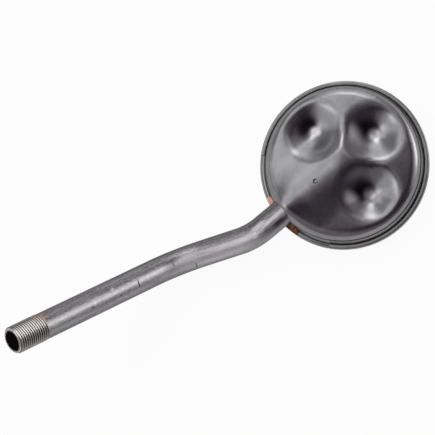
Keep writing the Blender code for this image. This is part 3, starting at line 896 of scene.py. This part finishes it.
@dataclass
class PickupTube:
    """The bent tube with its rolled thread."""

    sizes: Sizes
    neck_length: float = 0.0232
    middle_length: float = 0.0489
    stem_length: float = 0.1271
    neck_turn: float = radians(-21.9)
    stem_turn: float = radians(17.9)
    stem_rise: float = radians(43.3)
    bend_radius: float = 0.0430
    thread_length: float = 0.0200
    thread_major: float = 0.01645
    thread_pitch: float = 0.0015
    thread_depth: float = 0.00088
    run_out: float = 0.0016
    end_face_diameter: float = 0.0140
    end_chamfer_length: float = 0.0011
    inner_chamfer: float = 0.0004
    bore_chamfer: float = 0.00015
    mouth_inset: float = 0.00005
    thread_joint: float = 0.0002
    crest_rounding: float = 0.00003
    sides: int = TUBE_SIDES
    bend_step: float = radians(1.5)

    def corners(self) -> list[Vector]:
        """Work out the centre line's corners.

        Returns:
            The corners, inner end first.
        """
        plan = Vector((1.0, 0.0, 0.0))
        middle = Matrix.Rotation(self.neck_turn, 3, "Z") @ plan
        stem_plan = Matrix.Rotation(self.neck_turn + self.stem_turn, 3, "Z") @ plan
        stem = stem_plan * cos(self.stem_rise) + Vector((0.0, 0.0, sin(self.stem_rise)))
        entry = Vector((self.sizes.wall_radius, 0.0, self.sizes.tube_height))
        second = entry + plan * self.neck_length
        first = second + middle * self.middle_length
        return [entry - plan * self.sizes.tube_reach_in, second, first, first + stem * self.stem_length]

    def stations(self) -> list[Station]:
        """Follow the centre line, with stations close together in the bends.

        Returns:
            The stations, inner end first.
        """
        corners = self.corners()
        points = [corners[0]]
        for before, corner, after in zip(corners, corners[1:], corners[2:]):
            incoming = (corner - before).normalized()
            outgoing = (after - corner).normalized()
            turn = incoming.angle(outgoing)
            axis = incoming.cross(outgoing).normalized()
            start = corner - incoming * self.bend_radius * tan(turn / 2)
            centre = start + axis.cross(incoming) * self.bend_radius
            count = ceil(turn / self.bend_step)
            points += [centre + Matrix.Rotation(turn * i / count, 3, axis) @ (start - centre)
                       for i in range(count + 1)]
        points.append(corners[-1])
        made: list[Station] = []
        first, distance = Vector((0.0, 0.0, 1.0)), 0.0
        for i, point in enumerate(points):
            behind = point - points[max(i - 1, 0)]
            ahead = points[min(i + 1, len(points) - 1)] - point
            along = (behind.normalized() + ahead.normalized()).normalized()
            distance += behind.length
            first = (first - along * first.dot(along)).normalized()
            made.append(Station(point.copy(), distance, along, first.copy(), along.cross(first)))
        return made

    def _ring(self, verts: Sequence[bmesh.types.BMVert], station: Station, radius: float,
              layer: Any) -> None:
        """Set a ring of vertices about a station, with the straight tube's coordinates.

        Args:
            verts: The ring's vertices in order.
            station: Where the ring goes.
            radius: The ring's radius.
            layer: The layer of the straight tube's coordinates.
        """
        for i, vert in enumerate(verts):
            turn = 2 * pi * i / self.sides
            y, z = radius * cos(turn), radius * sin(turn)
            vert.co = station.point + station.first * y + station.second * z
            vert[layer] = Vector((station.distance, y, z))

    def _chain(self, bm: bmesh.types.BMesh, rings: Sequence[tuple[Station, float]],
               layer: Any) -> tuple[list[bmesh.types.BMVert], list[bmesh.types.BMVert]]:
        """Extrude a ring along stations.

        Args:
            bm: The bmesh to add to.
            rings: Each ring's station and radius.
            layer: The layer of the straight tube's coordinates.

        Returns:
            The first and the last ring.
        """
        made = bmesh.ops.create_circle(bm, segments=self.sides, radius=rings[0][1], cap_ends=False)
        first = current = list(made["verts"])
        self._ring(current, *rings[0], layer)
        for station, radius in rings[1:]:
            current = next_ring(bm, current)
            self._ring(current, station, radius, layer)
        return first, current

    def _thread(self, bm: bmesh.types.BMesh, tip: Station,
                layer: Any) -> tuple[list[bmesh.types.BMEdge], list[bmesh.types.BMEdge]]:
        """Roll the thread as a helix between the tube and the end face.

        Args:
            bm: The bmesh to add to.
            tip: The last station.
            layer: The layer of the straight tube's coordinates.

        Returns:
            The boundary edges at the tube's side and at the end face.
        """
        crest = self.thread_major / 2
        root = crest - self.thread_depth
        low = -self.thread_length - self.run_out
        pitch = self.thread_pitch
        low_flank, high_flank = root + 0.22 * self.thread_depth, root + 0.80 * self.thread_depth
        shoulder = crest - self.crest_rounding
        profile = [(0.00, root), (0.06, root), (0.16, low_flank), (0.34, high_flank), (0.42, shoulder),
                   (0.50, crest), (0.58, crest), (0.66, shoulder), (0.74, high_flank), (0.92, low_flank),
                   (1.00, root)]
        known = set(bm.verts)
        verts = [bm.verts.new((radius, 0.0, low - 2 * pitch + share * pitch)) for share, radius in profile]
        edges = [bm.edges.new(pair) for pair in zip(verts, verts[1:])]
        turns = ceil(-low / pitch) + 4
        bmesh.ops.spin(bm, geom=verts + edges, cent=(0, 0, 0), axis=(0, 0, 1),
                       dvec=(0, 0, pitch / self.sides), angle=2 * pi * turns,
                       steps=self.sides * turns, use_merge=False)
        fresh = [vert for vert in bm.verts if vert not in known]
        bmesh.ops.remove_doubles(bm, verts=fresh, dist=2 * MERGE_DISTANCE)
        for height, outer in ((0.0, True), (low, False)):
            fresh = [vert for vert in bm.verts if vert not in known]
            linked = [item for vert in fresh for item in (*vert.link_edges, *vert.link_faces)]
            bmesh.ops.bisect_plane(bm, geom=fresh + list(dict.fromkeys(linked)), dist=MERGE_DISTANCE / 10,
                                   plane_co=(0, 0, height), plane_no=(0, 0, 1),
                                   clear_outer=outer, clear_inner=not outer)
        fresh = [vert for vert in bm.verts if vert not in known]
        face_radius = self.end_face_diameter / 2
        slope = (crest - face_radius) / self.end_chamfer_length
        starts = {}
        for vert in fresh:
            x, y, z = vert.co
            radius = hypot(x, y)
            wanted = min(radius, face_radius - z * slope)
            share = ease((z - low) / self.run_out)
            wanted = self.sizes.tube_radius + (wanted - self.sizes.tube_radius) * share
            x, y = x * wanted / radius, y * wanted / radius
            starts[vert] = z
            vert.co = tip.point + tip.along * z + tip.first * x + tip.second * y
            vert[layer] = Vector((tip.distance + z, x, y))
        rim = list(dict.fromkeys(edge for vert in fresh for edge in vert.link_edges if edge.is_boundary))

        def at(height: float) -> list[bmesh.types.BMEdge]:
            """Return the boundary edges that were at a height before the thread was laid in place."""
            return [edge for edge in rim
                    if all(abs(starts[vert] - height) < MERGE_DISTANCE for vert in edge.verts)]

        return at(low), at(0.0)

    def build(self) -> bmesh.types.BMesh:
        """Build the whole tube, with its wall, thread, end face and bore.

        Returns:
            The tube in the strainer's own frame.
        """
        sizes, stations = self.sizes, self.stations()
        tip = stations[-1]
        bore, face = sizes.tube_radius - sizes.tube_wall, self.end_face_diameter / 2
        bm = bmesh.new()
        layer = bm.verts.layers.float_vector.new("unbent")

        def near_tip(back: float) -> Station:
            """Return a station a distance back from the tip."""
            return replace(tip, point=tip.point - tip.along * back, distance=tip.distance - back)

        start, chamfer = stations[0], self.inner_chamfer
        near = replace(start, point=start.point + start.along * chamfer, distance=chamfer)
        outer = [(start, sizes.tube_radius - chamfer), (near, sizes.tube_radius)]
        outer += [(station, sizes.tube_radius) for station in stations[1:-1]]
        outer += [(near_tip(self.thread_length + self.run_out + self.thread_joint), sizes.tube_radius)]
        first, last = self._chain(bm, outer, layer)
        inner = [(tip, face - self.mouth_inset), (tip, bore + self.bore_chamfer)]
        inner += [(near_tip(self.bore_chamfer), bore), (near_tip(self.thread_length), bore)]
        inner += [(station, bore) for station in reversed(stations[1:-1])] + [(start, bore)]
        mouth, end = self._chain(bm, inner, layer)
        tube_side, face_side = self._thread(bm, tip, layer)
        bmesh.ops.bridge_loops(bm, edges=ring_edges(bm, end) + ring_edges(bm, first))
        bmesh.ops.bridge_loops(bm, edges=ring_edges(bm, last) + tube_side)
        bmesh.ops.bridge_loops(bm, edges=ring_edges(bm, mouth) + face_side)
        bmesh.ops.remove_doubles(bm, verts=bm.verts, dist=MERGE_DISTANCE)
        bmesh.ops.recalc_face_normals(bm, faces=bm.faces)
        return bm

    def dress(self, effects: Effects, finish: TubeFinish) -> bpy.types.Material:
        """Dress the tube.

        Args:
            effects: The shared node groups.
            finish: The tube's finish.

        Returns:
            The material.
        """
        length, crest = self.stations()[-1].distance, self.thread_major / 2
        bore = self.sizes.tube_radius - self.sizes.tube_wall
        return finish.material(effects, length, self.thread_length, crest - self.thread_depth, crest, bore)


@dataclass
class HousingShell:
    """The drawn cup with its three dimples and the roof over the tube."""

    sizes: Sizes
    crown_height: float = 0.0168
    crown_radius: float = 0.2050
    shoulder_radius: float = 0.0080
    dimple_count: int = 3
    dimple_radius: float = 0.0220
    dimple_depth: float = 0.0080
    dimple_wall_inset: float = 0.0220
    dimple_floor_power: float = 1.15
    dimple_lip_power: float = 1.20
    dimple_turn: float = radians(2.2)
    ridge_height: float = 0.0036
    ridge_full: float = 0.0060
    ridge_ramp: float = 0.0360
    ridge_half_width: float = 0.0250
    roof_clearance: float = 0.0001
    roof_flank: float = 0.0060
    roof_lead: float = 0.0020
    roof_ramp: float = 0.0150
    hole_gap: float = 0.0003
    # The painted shade beside each dimple's floor, shifted to one side, and the floor's polish and painted
    # highlight.
    shade_radius: float = 0.0088
    shade_shift: Point = (0.0012, -0.0048)
    shade_edge: float = 0.0020
    polish_radius: float = 0.0054
    nick_place: Point = (0.0191, 0.0007)
    nick_radius: float = 0.0012
    shade_scale: float = 240.0
    shade_heart: float = 0.4
    polish_heart: float = 0.3
    nick_scale: float = 700.0
    nick_width: float = 0.55
    steps: int = 240
    crown_rings: int = 60
    shoulder_steps: int = 16
    wall_steps: int = 10
    fillet_steps: int = 6

    @property
    def shoulder_centre(self) -> float:
        """Radius of the shoulder's centre line."""
        return self.sizes.wall_radius - self.shoulder_radius

    @property
    def shoulder_tilt(self) -> float:
        """Slope of the crown where it turns into the shoulder."""
        return asin(self.shoulder_centre / (self.crown_radius - self.shoulder_radius))

    @property
    def crown_top(self) -> float:
        """Height of the crown's sphere at its centre."""
        return self.sizes.flange_top + self.crown_height

    @property
    def wall_top(self) -> float:
        """Height at which the wall turns into the shoulder."""
        reach = self.crown_radius - self.shoulder_radius
        return self.crown_top - self.crown_radius + reach * cos(self.shoulder_tilt)

    @property
    def wall_foot(self) -> float:
        """Height at which the wall turns into the flange."""
        return self.sizes.flange_top + self.sizes.flange_fillet

    @property
    def hole_radius(self) -> float:
        """Radius of the hole for the tube."""
        return self.sizes.tube_radius + self.hole_gap

    def sphere(self, radius: float) -> float:
        """Return the height of the undimpled crown's sphere at a radius."""
        return self.crown_top - self.crown_radius + sqrt(self.crown_radius ** 2 - radius ** 2)

    def centres(self) -> list[Point]:
        """Place the dimples.

        Returns:
            Their centres in plan.
        """
        circle = self.sizes.wall_radius - self.dimple_wall_inset
        step = 2 * pi / (self.dimple_count + 1)
        turns = [self.dimple_turn + step * (i + 1) for i in range(self.dimple_count)]
        return [(circle * cos(turn), circle * sin(turn)) for turn in turns]

    def profile(self) -> list[Point]:
        """Draw the outer profile of the undimpled cup.

        Returns:
            Points of radius and height, from the cup's centre to the flange's edge.
        """
        sizes, tilt, count = self.sizes, self.shoulder_tilt, self.wall_steps
        start = self.crown_radius * sin(tilt)
        radii = [start * i / self.crown_rings for i in range(self.crown_rings)]
        points = [(radius, self.sphere(radius)) for radius in radii]
        points += arc((self.shoulder_centre, self.wall_top), self.shoulder_radius, pi / 2 - tilt, 0,
                      self.shoulder_steps)
        points += [(sizes.wall_radius + sizes.wall_draft * i / count,
                    self.wall_top + (self.wall_foot - self.wall_top) * i / count) for i in range(1, count)]
        fillet = sizes.flange_fillet
        points += arc((sizes.wall_foot_radius + fillet, self.wall_foot), fillet, pi, 3 * pi / 2,
                      self.fillet_steps)
        points += [(sizes.flange_radius, sizes.flange_top)]
        return points

    def dimple_drop(self, distance: float) -> float:
        """Work out how far one dimple presses the crown down.

        Args:
            distance: The distance in plan from the dimple's centre.

        Returns:
            The drop.
        """
        if distance >= self.dimple_radius:
            return 0.0
        turn = pi * (distance / self.dimple_radius) ** self.dimple_floor_power
        return self.dimple_depth * ((1 + cos(turn)) / 2) ** self.dimple_lip_power

    def swell(self, place: Point, full: float, ramp: float, half_width: float) -> float:
        """Return the share of its height that a swelling along +X has at a point.

        Args:
            place: The point in plan.
            full: The distance from the axis at which it has its full height.
            ramp: The length over which it rises.
            half_width: Half its width.

        Returns:
            A share between 0 and 1.
        """
        x, y = place
        if abs(y) >= half_width:
            return 0.0
        return ease(1 - (full - x) / ramp) * cos(pi * y / (2 * half_width)) ** 2

    def lift(self, x: float, y: float) -> float:
        """Work out how far the ridge and the roof over the tube raise the crown.

        Args:
            x: The point's place in plan towards the tube.
            y: Its place in plan across.

        Returns:
            The rise.
        """
        sizes = self.sizes
        ridge = self.swell((x, y), self.ridge_full, self.ridge_ramp, self.ridge_half_width)
        full = sizes.wall_radius - sizes.tube_reach_in - self.roof_lead
        roof = self.swell((x, y), full, self.roof_ramp, sizes.tube_radius + self.roof_flank)
        top = sizes.tube_height + self.hole_radius + self.roof_clearance + sizes.shell_sheet
        return self.ridge_height * ridge + (top - self.sphere(hypot(x, y)) - self.ridge_height) * roof

    def press(self, bm: bmesh.types.BMesh) -> None:
        """Press the dimples into the crown, and raise the ridge and the roof over the tube.

        Args:
            bm: The undimpled cup.
        """
        centres = self.centres()
        for vert in bm.verts:
            x, y, z = vert.co
            share = min(1.0, max(0.0, (z - self.wall_foot) / (self.wall_top - self.wall_foot)))
            drop = sum(self.dimple_drop(hypot(x - cx, y - cy)) for cx, cy in centres)
            vert.co.z = z + (self.lift(x, y) - drop) * share

    def build(self) -> bmesh.types.BMesh:
        """Build the shell, with its sheet's thickness and the hole for the tube.

        Returns:
            The shell in the strainer's own frame.
        """
        sizes = self.sizes
        bm = spun(self.profile(), self.steps, closed=False)
        self.press(bm)
        bm.normal_update()
        if sum(face.normal.z for face in bm.faces) < 0:
            bmesh.ops.reverse_faces(bm, faces=bm.faces)
        cup = loose_object("cup", bm)
        wall = cup.modifiers.new("sheet", "SOLIDIFY")
        wall.thickness = sizes.shell_sheet
        wall.offset = -1.0
        wall.use_quality_normals = True
        wall.use_even_offset = True
        return cut(cup, tube_space(sizes, self.hole_radius))

    def dress(self, effects: Effects, finish: SheetFinish, placement: Placement) -> bpy.types.Material:
        """Return the shell's material, with painted shade beside the dimples' floors, the floors painted
        lighter as polish and highlight, and a nick in the ridge.

        Args:
            effects: The shared node groups.
            finish: The shell's finish.
            placement: Where the strainer's own frame lies.

        Returns:
            The material.
        """
        origin, turn = placement.matrix.translation, placement.matrix.to_3x3()

        def plan(graph: Graph, place: Socket) -> Socket:
            """Turn a place in the row into its plan in the strainer's own frame.

            Args:
                graph: The material's graph.
                place: The object's coordinates.

            Returns:
                The place in plan.
            """
            offset = graph.vector("SUBTRACT", place, tuple(origin))
            across = {axis: graph.vector("DOT_PRODUCT", offset, tuple(turn.col[i]), output="Value")
                      for i, axis in enumerate("XY")}
            return graph.add("ShaderNodeCombineXYZ", across).outputs["Vector"]

        def nearest(graph: Graph, flat: Socket) -> Socket:
            """Measure how far the nearest dimple's centre is.

            Args:
                graph: The material's graph.
                flat: A place in plan.

            Returns:
                The distance.
            """
            away = [graph.vector("DISTANCE", flat, (*centre, 0.0), output="Value")
                    for centre in self.centres()]
            least = away[0]
            for other in away[1:]:
                least = graph.calc("MINIMUM", least, other)
            return least

        def painted_shade_and_highlight(graph: Graph, place: Socket) -> tuple[Socket, Socket]:
            """Mark the painted shade beside the dimples' floors, and the floors painted lighter, polished by
            the punch and as a highlight.

            Args:
                graph: The material's graph.
                place: The object's coordinates.

            Returns:
                The painted shade's mask and the polish and highlight's.
            """
            flat = plan(graph, place)
            low = graph.vector("SUBTRACT", flat, (*self.shade_shift, 0.0))
            uneven = graph.noise(place, self.shade_scale, detail=4.0)
            reach = graph.calc("MULTIPLY_ADD", uneven, self.shade_edge, nearest(graph, low))
            shade_and_nick_dark = graph.span(reach, self.shade_radius + self.shade_edge, self.shade_radius * self.shade_heart)
            # The floors are painted lighter: polish, and a painted highlight.
            polish_and_highlight = graph.span(nearest(graph, flat), self.polish_radius,
                                  self.polish_radius * self.polish_heart)
            return shade_and_nick_dark, polish_and_highlight

        def nicks(graph: Graph, place: Socket) -> Socket:
            """Mark the small open ring where something has hit the ridge.

            Args:
                graph: The material's graph.
                place: The object's coordinates.

            Returns:
                The nick's mask.
            """
            flat = plan(graph, place)
            away = graph.vector("DISTANCE", flat, (*self.nick_place, 0.0), output="Value")
            ring = graph.calc("ABSOLUTE", graph.calc("SUBTRACT", away, self.nick_radius))
            uneven = graph.span(graph.noise(place, self.nick_scale, detail=2.0), 0.38, 0.55)
            return graph.calc("MULTIPLY", graph.span(ring, self.nick_radius * self.nick_width, 0.0), uneven)

        return finish.material(effects, painted_shade_and_highlight, nicks)


@dataclass
class RetainingRing:
    """The sheet ring folded round the shell's flange."""

    sizes: Sizes
    open_from: float = radians(-47)
    open_to: float = radians(40.7)
    lip_lean: float = 0.00045
    soft_edge: float = 0.0002
    soft_steps: int = 3
    corner_steps: int = 6
    steps: int = 240

    def build(self) -> bmesh.types.BMesh:
        """Build the folded ring, with its lip left standing beside the tube.

        Returns:
            The ring in the strainer's own frame.
        """
        sizes = self.sizes
        out, inside, corner = sizes.rim_radius, sizes.rim_radius - sizes.ring_sheet, sizes.ring_corner
        edge, soft = out - sizes.lip_width, self.soft_edge
        fine, coarse = self.soft_steps, self.corner_steps
        points = arc((edge - self.lip_lean + soft, sizes.rim_height - soft), soft, pi, pi / 2, fine)
        points += arc((out - corner, sizes.rim_height - corner), corner, pi / 2, 0, coarse)
        points += arc((out - corner, corner), corner, 0, -pi / 2, coarse)
        points += arc((sizes.ring_open_radius + soft, soft), soft, 3 * pi / 2, pi, fine)
        points += [(sizes.ring_open_radius, sizes.ring_sheet), (inside, sizes.ring_sheet),
                   (inside, sizes.lip_bottom), (edge, sizes.lip_bottom)]
        ring = loose_object("ring", spun(points, self.steps, closed=True))
        beyond = 2 * out
        bm = bmesh.new()
        wedge = [(0.0, 0.0), (beyond, beyond * tan(self.open_from)), (beyond, beyond * tan(self.open_to))]
        face = bm.faces.new([bm.verts.new((x, y, sizes.flange_top)) for x, y in wedge])
        made = bmesh.ops.extrude_face_region(bm, geom=[face])
        top = [item for item in made["geom"] if isinstance(item, bmesh.types.BMVert)]
        bmesh.ops.translate(bm, verts=top, vec=(0, 0, sizes.rim_height))
        bmesh.ops.recalc_face_normals(bm, faces=bm.faces)
        return cut(ring, loose_object("opening", bm))

    def dress(self, effects: Effects, finish: SheetFinish) -> bpy.types.Material:
        """Return the ring's material."""
        return finish.material(effects)


@dataclass
class WireScreen:
    """The woven wire cloth clamped under the flange."""

    sizes: Sizes
    pitch: float = 0.0020
    wire: float = 0.00045
    sides: int = 6
    steps_per_pitch: int = 4

    def _wire(self, phase: float) -> bpy.types.Mesh:
        """Make one wavy wire along X, as long as the screen is wide.

        Args:
            phase: Where in its wave the wire is at the screen's middle.

        Returns:
            The wire's mesh.
        """
        radius = self.sizes.flange_radius
        count = ceil(2 * radius / self.pitch) * self.steps_per_pitch
        bm = bmesh.new()
        turn = Matrix.Rotation(pi / 2, 4, "Y")
        made = bmesh.ops.create_circle(bm, segments=self.sides, radius=self.wire / 2, matrix=turn)
        current = list(made["verts"])
        across = [vert.co.copy() for vert in current]
        for i in range(count + 1):
            if i:
                current = next_ring(bm, current)
            x = -radius + 2 * radius * i / count
            rise = self.wire / 2 * cos(pi * x / self.pitch + phase)
            for vert, offset in zip(current, across):
                vert.co = Vector((x, offset.y, offset.z + rise))
        bmesh.ops.recalc_face_normals(bm, faces=bm.faces)
        mesh = bpy.data.meshes.new("wire")
        bm.to_mesh(mesh)
        bm.free()
        return mesh

    def build(self, weave: Weave) -> bmesh.types.BMesh:
        """Return all the wires of one direction, trimmed to the flange.

        Args:
            weave: The direction of the wires.

        Returns:
            The wires in one bmesh.
        """
        sizes, shift = self.sizes, 0.0 if weave is Weave.WARP else pi
        level = sizes.screen_bottom + sizes.screen_thickness / 2
        turn = Matrix.Identity(4) if weave is Weave.WARP else Matrix.Rotation(pi / 2, 4, "Z")
        wires = [self._wire(shift), self._wire(shift + pi)]
        reach = sizes.flange_radius - self.wire
        count = int(reach / self.pitch)
        bm = bmesh.new()
        for i in range(-count, count + 1):
            before = len(bm.verts)
            bm.from_mesh(wires[i % 2])
            bm.verts.ensure_lookup_table()
            fresh = bm.verts[before:]
            bmesh.ops.translate(bm, verts=fresh, vec=(0.0, i * self.pitch, level))
        for wire in wires:
            bpy.data.meshes.remove(wire)
        outside = [vert for vert in bm.verts if hypot(vert.co.x, vert.co.y) > reach]
        bmesh.ops.delete(bm, geom=outside, context="VERTS")
        bmesh.ops.transform(bm, matrix=turn, verts=bm.verts)
        ends = [edge for edge in bm.edges if edge.is_boundary]
        bmesh.ops.holes_fill(bm, edges=ends, sides=self.sides)
        return bm

    def dress(self, effects: Effects, finish: SheetFinish) -> bpy.types.Material:
        """Return the wire's material."""
        return finish.material(effects)


@dataclass
class BrazeJoint:
    """The filler metal that joins tube, shell and ring."""

    sizes: Sizes
    reach: float = 0.0070
    height: float = 0.0052
    edge: float = 0.0006
    edge_inset: float = 0.0003
    taper: float = 0.70
    even_share: float = 0.5
    hollow: float = 0.35
    hollow_steps: int = 12
    corner_steps: int = 4
    contact: float = 0.00004
    lumps: float = 0.00030
    lump_scale: float = 420.0
    lump_fade: float = 0.001
    steps: int = 96

    def build(self) -> bmesh.types.BMesh:
        """Build the bead along the rim on both sides of the tube, lumpy as it set.

        Returns:
            The bead in the strainer's own frame.
        """
        sizes = self.sizes
        foot = sizes.flange_top + sizes.flange_fillet
        inner = sizes.wall_radius + self.contact
        floor = sizes.flange_top + sizes.seat_gap
        outer = sizes.rim_radius - self.edge_inset
        section = arc((sizes.wall_foot_radius + sizes.flange_fillet, foot),
                      sizes.flange_fillet - sizes.seat_gap, 3 * pi / 2, pi, self.corner_steps)
        width, rise = outer - inner, self.height - self.edge
        flat, steps = 1 - self.hollow, self.hollow_steps
        section += [(outer + width * (x * self.hollow + (i / steps - 1) * flat),
                     floor + self.height + rise * (z * self.hollow - i / steps * flat))
                    for i, (x, z) in enumerate(arc((0.0, 0.0), 1.0, pi, 3 * pi / 2, steps))]
        section += [(outer, floor)]
        half = asin(sizes.tube_radius / sizes.rim_radius) + self.reach / sizes.rim_radius
        bm = bmesh.new()
        face = bm.faces.new([bm.verts.new((x, 0.0, z)) for x, z in section])
        bmesh.ops.rotate(bm, verts=bm.verts, cent=(0, 0, 0), matrix=Matrix.Rotation(-half, 3, "Z"))
        bmesh.ops.spin(bm, geom=[face], cent=(0, 0, 0), axis=(0, 0, 1), angle=2 * half,
                       steps=self.steps, use_merge=False)
        for vert in bm.verts:
            share = abs(atan2(vert.co.y, vert.co.x)) / half
            side = max(0.0, share - self.even_share) / (1 - self.even_share)
            level = (vert.co.z - floor) * (1 - self.taper * side * side)
            lump = noise.noise(vert.co * self.lump_scale) * self.lumps * min(1.0, level / self.lump_fade)
            vert.co.z = floor + max(0.0, level + lump)
        bmesh.ops.recalc_face_normals(bm, faces=bm.faces)
        return cut(loose_object("bead", bm), tube_space(sizes, sizes.tube_radius + self.contact))

    def dress(self, effects: Effects, finish: BrazeFinish, placement: Placement) -> bpy.types.Material:
        """Return the braze's material, painted brighter as light on the bead at the own -Y side and darker as
        shade on the other.
        """
        side = placement.matrix.to_3x3() @ Vector((0.0, -1.0, 0.0))
        return finish.material(effects, side / (2 * self.sizes.tube_radius))


# Studio


@dataclass(frozen=True)
class Softbox:
    """A soft patch of light in the world.

    Its direction is seen from the camera: right, up and towards it. It is whole within its inner angle
    and gone past its outer one, both in degrees from its middle.
    """

    direction: tuple[float, float, float]
    strength: float
    inner: float = 3
    outer: float = 15


@dataclass
class Studio:
    """The camera, the paper and the light.

    The camera's lens, place and turn come from a fit to the part's edges in the photograph. The boxes'
    directions and strengths come from a fit to its reflections, and some were changed.
    """

    placement: Placement
    lens: float = 166.587
    camera_place: tuple[float, float, float] = (-0.008733, 0.244714, 1.199863)
    camera_turn: tuple[float, float, float] = (7.2676, 11.2358, 141.3774)
    paper_size: float = 4.0
    paper_gap: float = 0.0001
    ambient: float = 0.085
    lit_level: float = 0.6
    shade: Color = (1.0, 0.80, 0.98)
    boxes: tuple[Softbox, ...] = (
        Softbox((0.94, 0.31, 0.15), 2.90, 5, 20),
        Softbox((-0.16, 0.84, 0.52), 2.64),
        Softbox((0.75, 0.67, 0.00), 1.62),
        Softbox((-0.71, -0.06, 0.70), 1.32),
        Softbox((0.94, 0.24, 0.24), 1.03, 14, 36),
        Softbox((-0.85, -0.17, 0.50), 0.98, 14, 36),
        Softbox((-0.32, 0.72, 0.62), 0.93),
        Softbox((-0.70, 0.48, 0.52), 0.79),
        Softbox((-0.06, 1.00, 0.05), 0.76, 8, 24),
        Softbox((-0.50, 0.41, 0.76), 0.73, 8, 24),
        Softbox((0.04, 0.65, 0.76), 0.69),
        Softbox((0.14, 0.94, 0.32), 0.59),
        Softbox((-0.36, 0.90, 0.25), 0.55),
        Softbox((-0.98, 0.19, 0.03), 0.49),
        Softbox((-0.62, 0.67, 0.40), 0.44, 25, 60),
        Softbox((0.47, 0.88, -0.05), 0.43, 25, 60),
        Softbox((-0.37, -0.86, 0.36), 0.36, 14, 36),
        Softbox((-0.42, -0.48, 0.77), 0.20),
        Softbox((0.46, -0.82, 0.34), 0.19, 14, 36),
        Softbox((-0.27, 0.16, 0.95), 0.19, 8, 24),
        Softbox((-0.37, 0.20, 0.91), 0.30, 3, 14),
        Softbox((0.19, 0.02, 0.98), 0.12, 3, 13),
        Softbox((0.16, 0.37, 0.91), 0.15),
        Softbox((0.64, 0.27, 0.72), 0.14),
    )

    def camera(self) -> bpy.types.Object:
        """Make the camera, where the photograph was taken from.

        Returns:
            The camera, which the scene then uses.
        """
        data = bpy.data.cameras.new("camera")
        data.sensor_width = 36.0
        data.lens = self.lens
        data.clip_start = 0.01
        made = bpy.data.objects.new("camera", data)
        bpy.context.scene.collection.objects.link(made)
        pose = self.placement.matrix @ Matrix.Translation(self.camera_place)
        for angle, axis in zip(reversed(self.camera_turn), "ZYX"):
            pose = pose @ Matrix.Rotation(radians(angle), 4, axis)
        made.matrix_world = pose
        bpy.context.scene.camera = made
        return made

    def floor(self, finish: PaperFinish) -> bpy.types.Object:
        """Lay the paper that the part rests on.

        Args:
            finish: The paper's finish.

        Returns:
            The paper.
        """
        bm = bmesh.new()
        bmesh.ops.create_grid(bm, x_segments=1, y_segments=1, size=self.paper_size,
                              matrix=Matrix.Translation((0.0, 0.0, -self.paper_gap)))
        made = loose_object("paper", bm)
        made.data.materials.append(finish.material())
        return made

    def light(self, camera: bpy.types.Object) -> None:
        """Light the part from soft boxes in the world, which is white to the camera.

        Args:
            camera: The camera that the boxes' directions are seen from.
        """
        world = bpy.data.worlds.new("studio")
        bpy.context.scene.world = world
        world.use_nodes = True
        graph = Graph(world.node_tree)
        place = graph.add("ShaderNodeTexCoord").outputs["Generated"]
        total: Value = self.ambient
        for box in self.boxes:
            aim = (camera.matrix_world.to_3x3() @ Vector(box.direction)).normalized()
            facing = graph.vector("DOT_PRODUCT", place, tuple(aim), output="Value")
            patch = graph.span(facing, cos(radians(box.outer)), cos(radians(box.inner)), 0.0, box.strength)
            total = graph.calc("ADD", patch, total)
        path = graph.add("ShaderNodeLightPath")
        seen = path.outputs["Is Camera Ray"]
        strength = graph.add("ShaderNodeMix", {0: seen, 2: total, 3: 1.0}, data_type="FLOAT")
        background = world.node_tree.nodes["Background"]
        lit = graph.calc("MAXIMUM", graph.span(total, self.ambient, self.lit_level, soft=False), seen)
        graph.feed(background.inputs["Color"], graph.tint(lit, self.shade, (1.0, 1.0, 1.0)))
        graph.feed(background.inputs["Strength"], strength.outputs[0])
        bpy.context.scene.view_settings.view_transform = "Standard"


def main() -> None:
    """Build and dress the pieces in order, and light them."""
    logging.basicConfig(level=logging.INFO, format="%(name)s: %(message)s")
    sizes = Sizes()
    placement = Placement.from_record(frame["record"], sizes)
    effects = Effects()
    shell_finish = SheetFinish("pressed shell steel", clean=(0.25, 0.25, 0.255), oiled=(0.195, 0.19, 0.20),
                               smooth=0.19, dull=0.25, film=0.15)
    ring_finish = SheetFinish("folded ring steel", clean=(0.26, 0.255, 0.255), oiled=(0.17, 0.163, 0.165),
                              smooth=0.28, dull=0.42)
    wire_finish = SheetFinish("screen wire", clean=(0.45, 0.45, 0.45), oiled=(0.30, 0.30, 0.30),
                              smooth=0.3, dull=0.45)

    studio = Studio(placement)
    camera = studio.camera()

    tube = PickupTube(sizes)
    finish_piece(tube.build(), "bent_tube", "pickup_tube", placement,
                 tube.dress(effects, TubeFinish()), crease=radians(35))
    shell = HousingShell(sizes)
    finish_piece(shell.build(), "dimpled_shell", "housing_shell", placement,
                 shell.dress(effects, shell_finish, placement))
    ring = RetainingRing(sizes)
    finish_piece(ring.build(), "folded_ring", "retaining_ring", placement,
                 ring.dress(effects, ring_finish))
    screen = WireScreen(sizes)
    wire = screen.dress(effects, wire_finish)
    for weave in Weave:
        finish_piece(screen.build(weave), f"{weave.value}_wires", "wire_screen", placement,
                     wire, crease=radians(80))
    braze = BrazeJoint(sizes)
    finish_piece(braze.build(), "braze_bead", "braze_fillet", placement,
                 braze.dress(effects, BrazeFinish(), placement), crease=radians(60))

    studio.floor(PaperFinish())
    studio.light(camera)


if __name__ == "__main__":
    main()
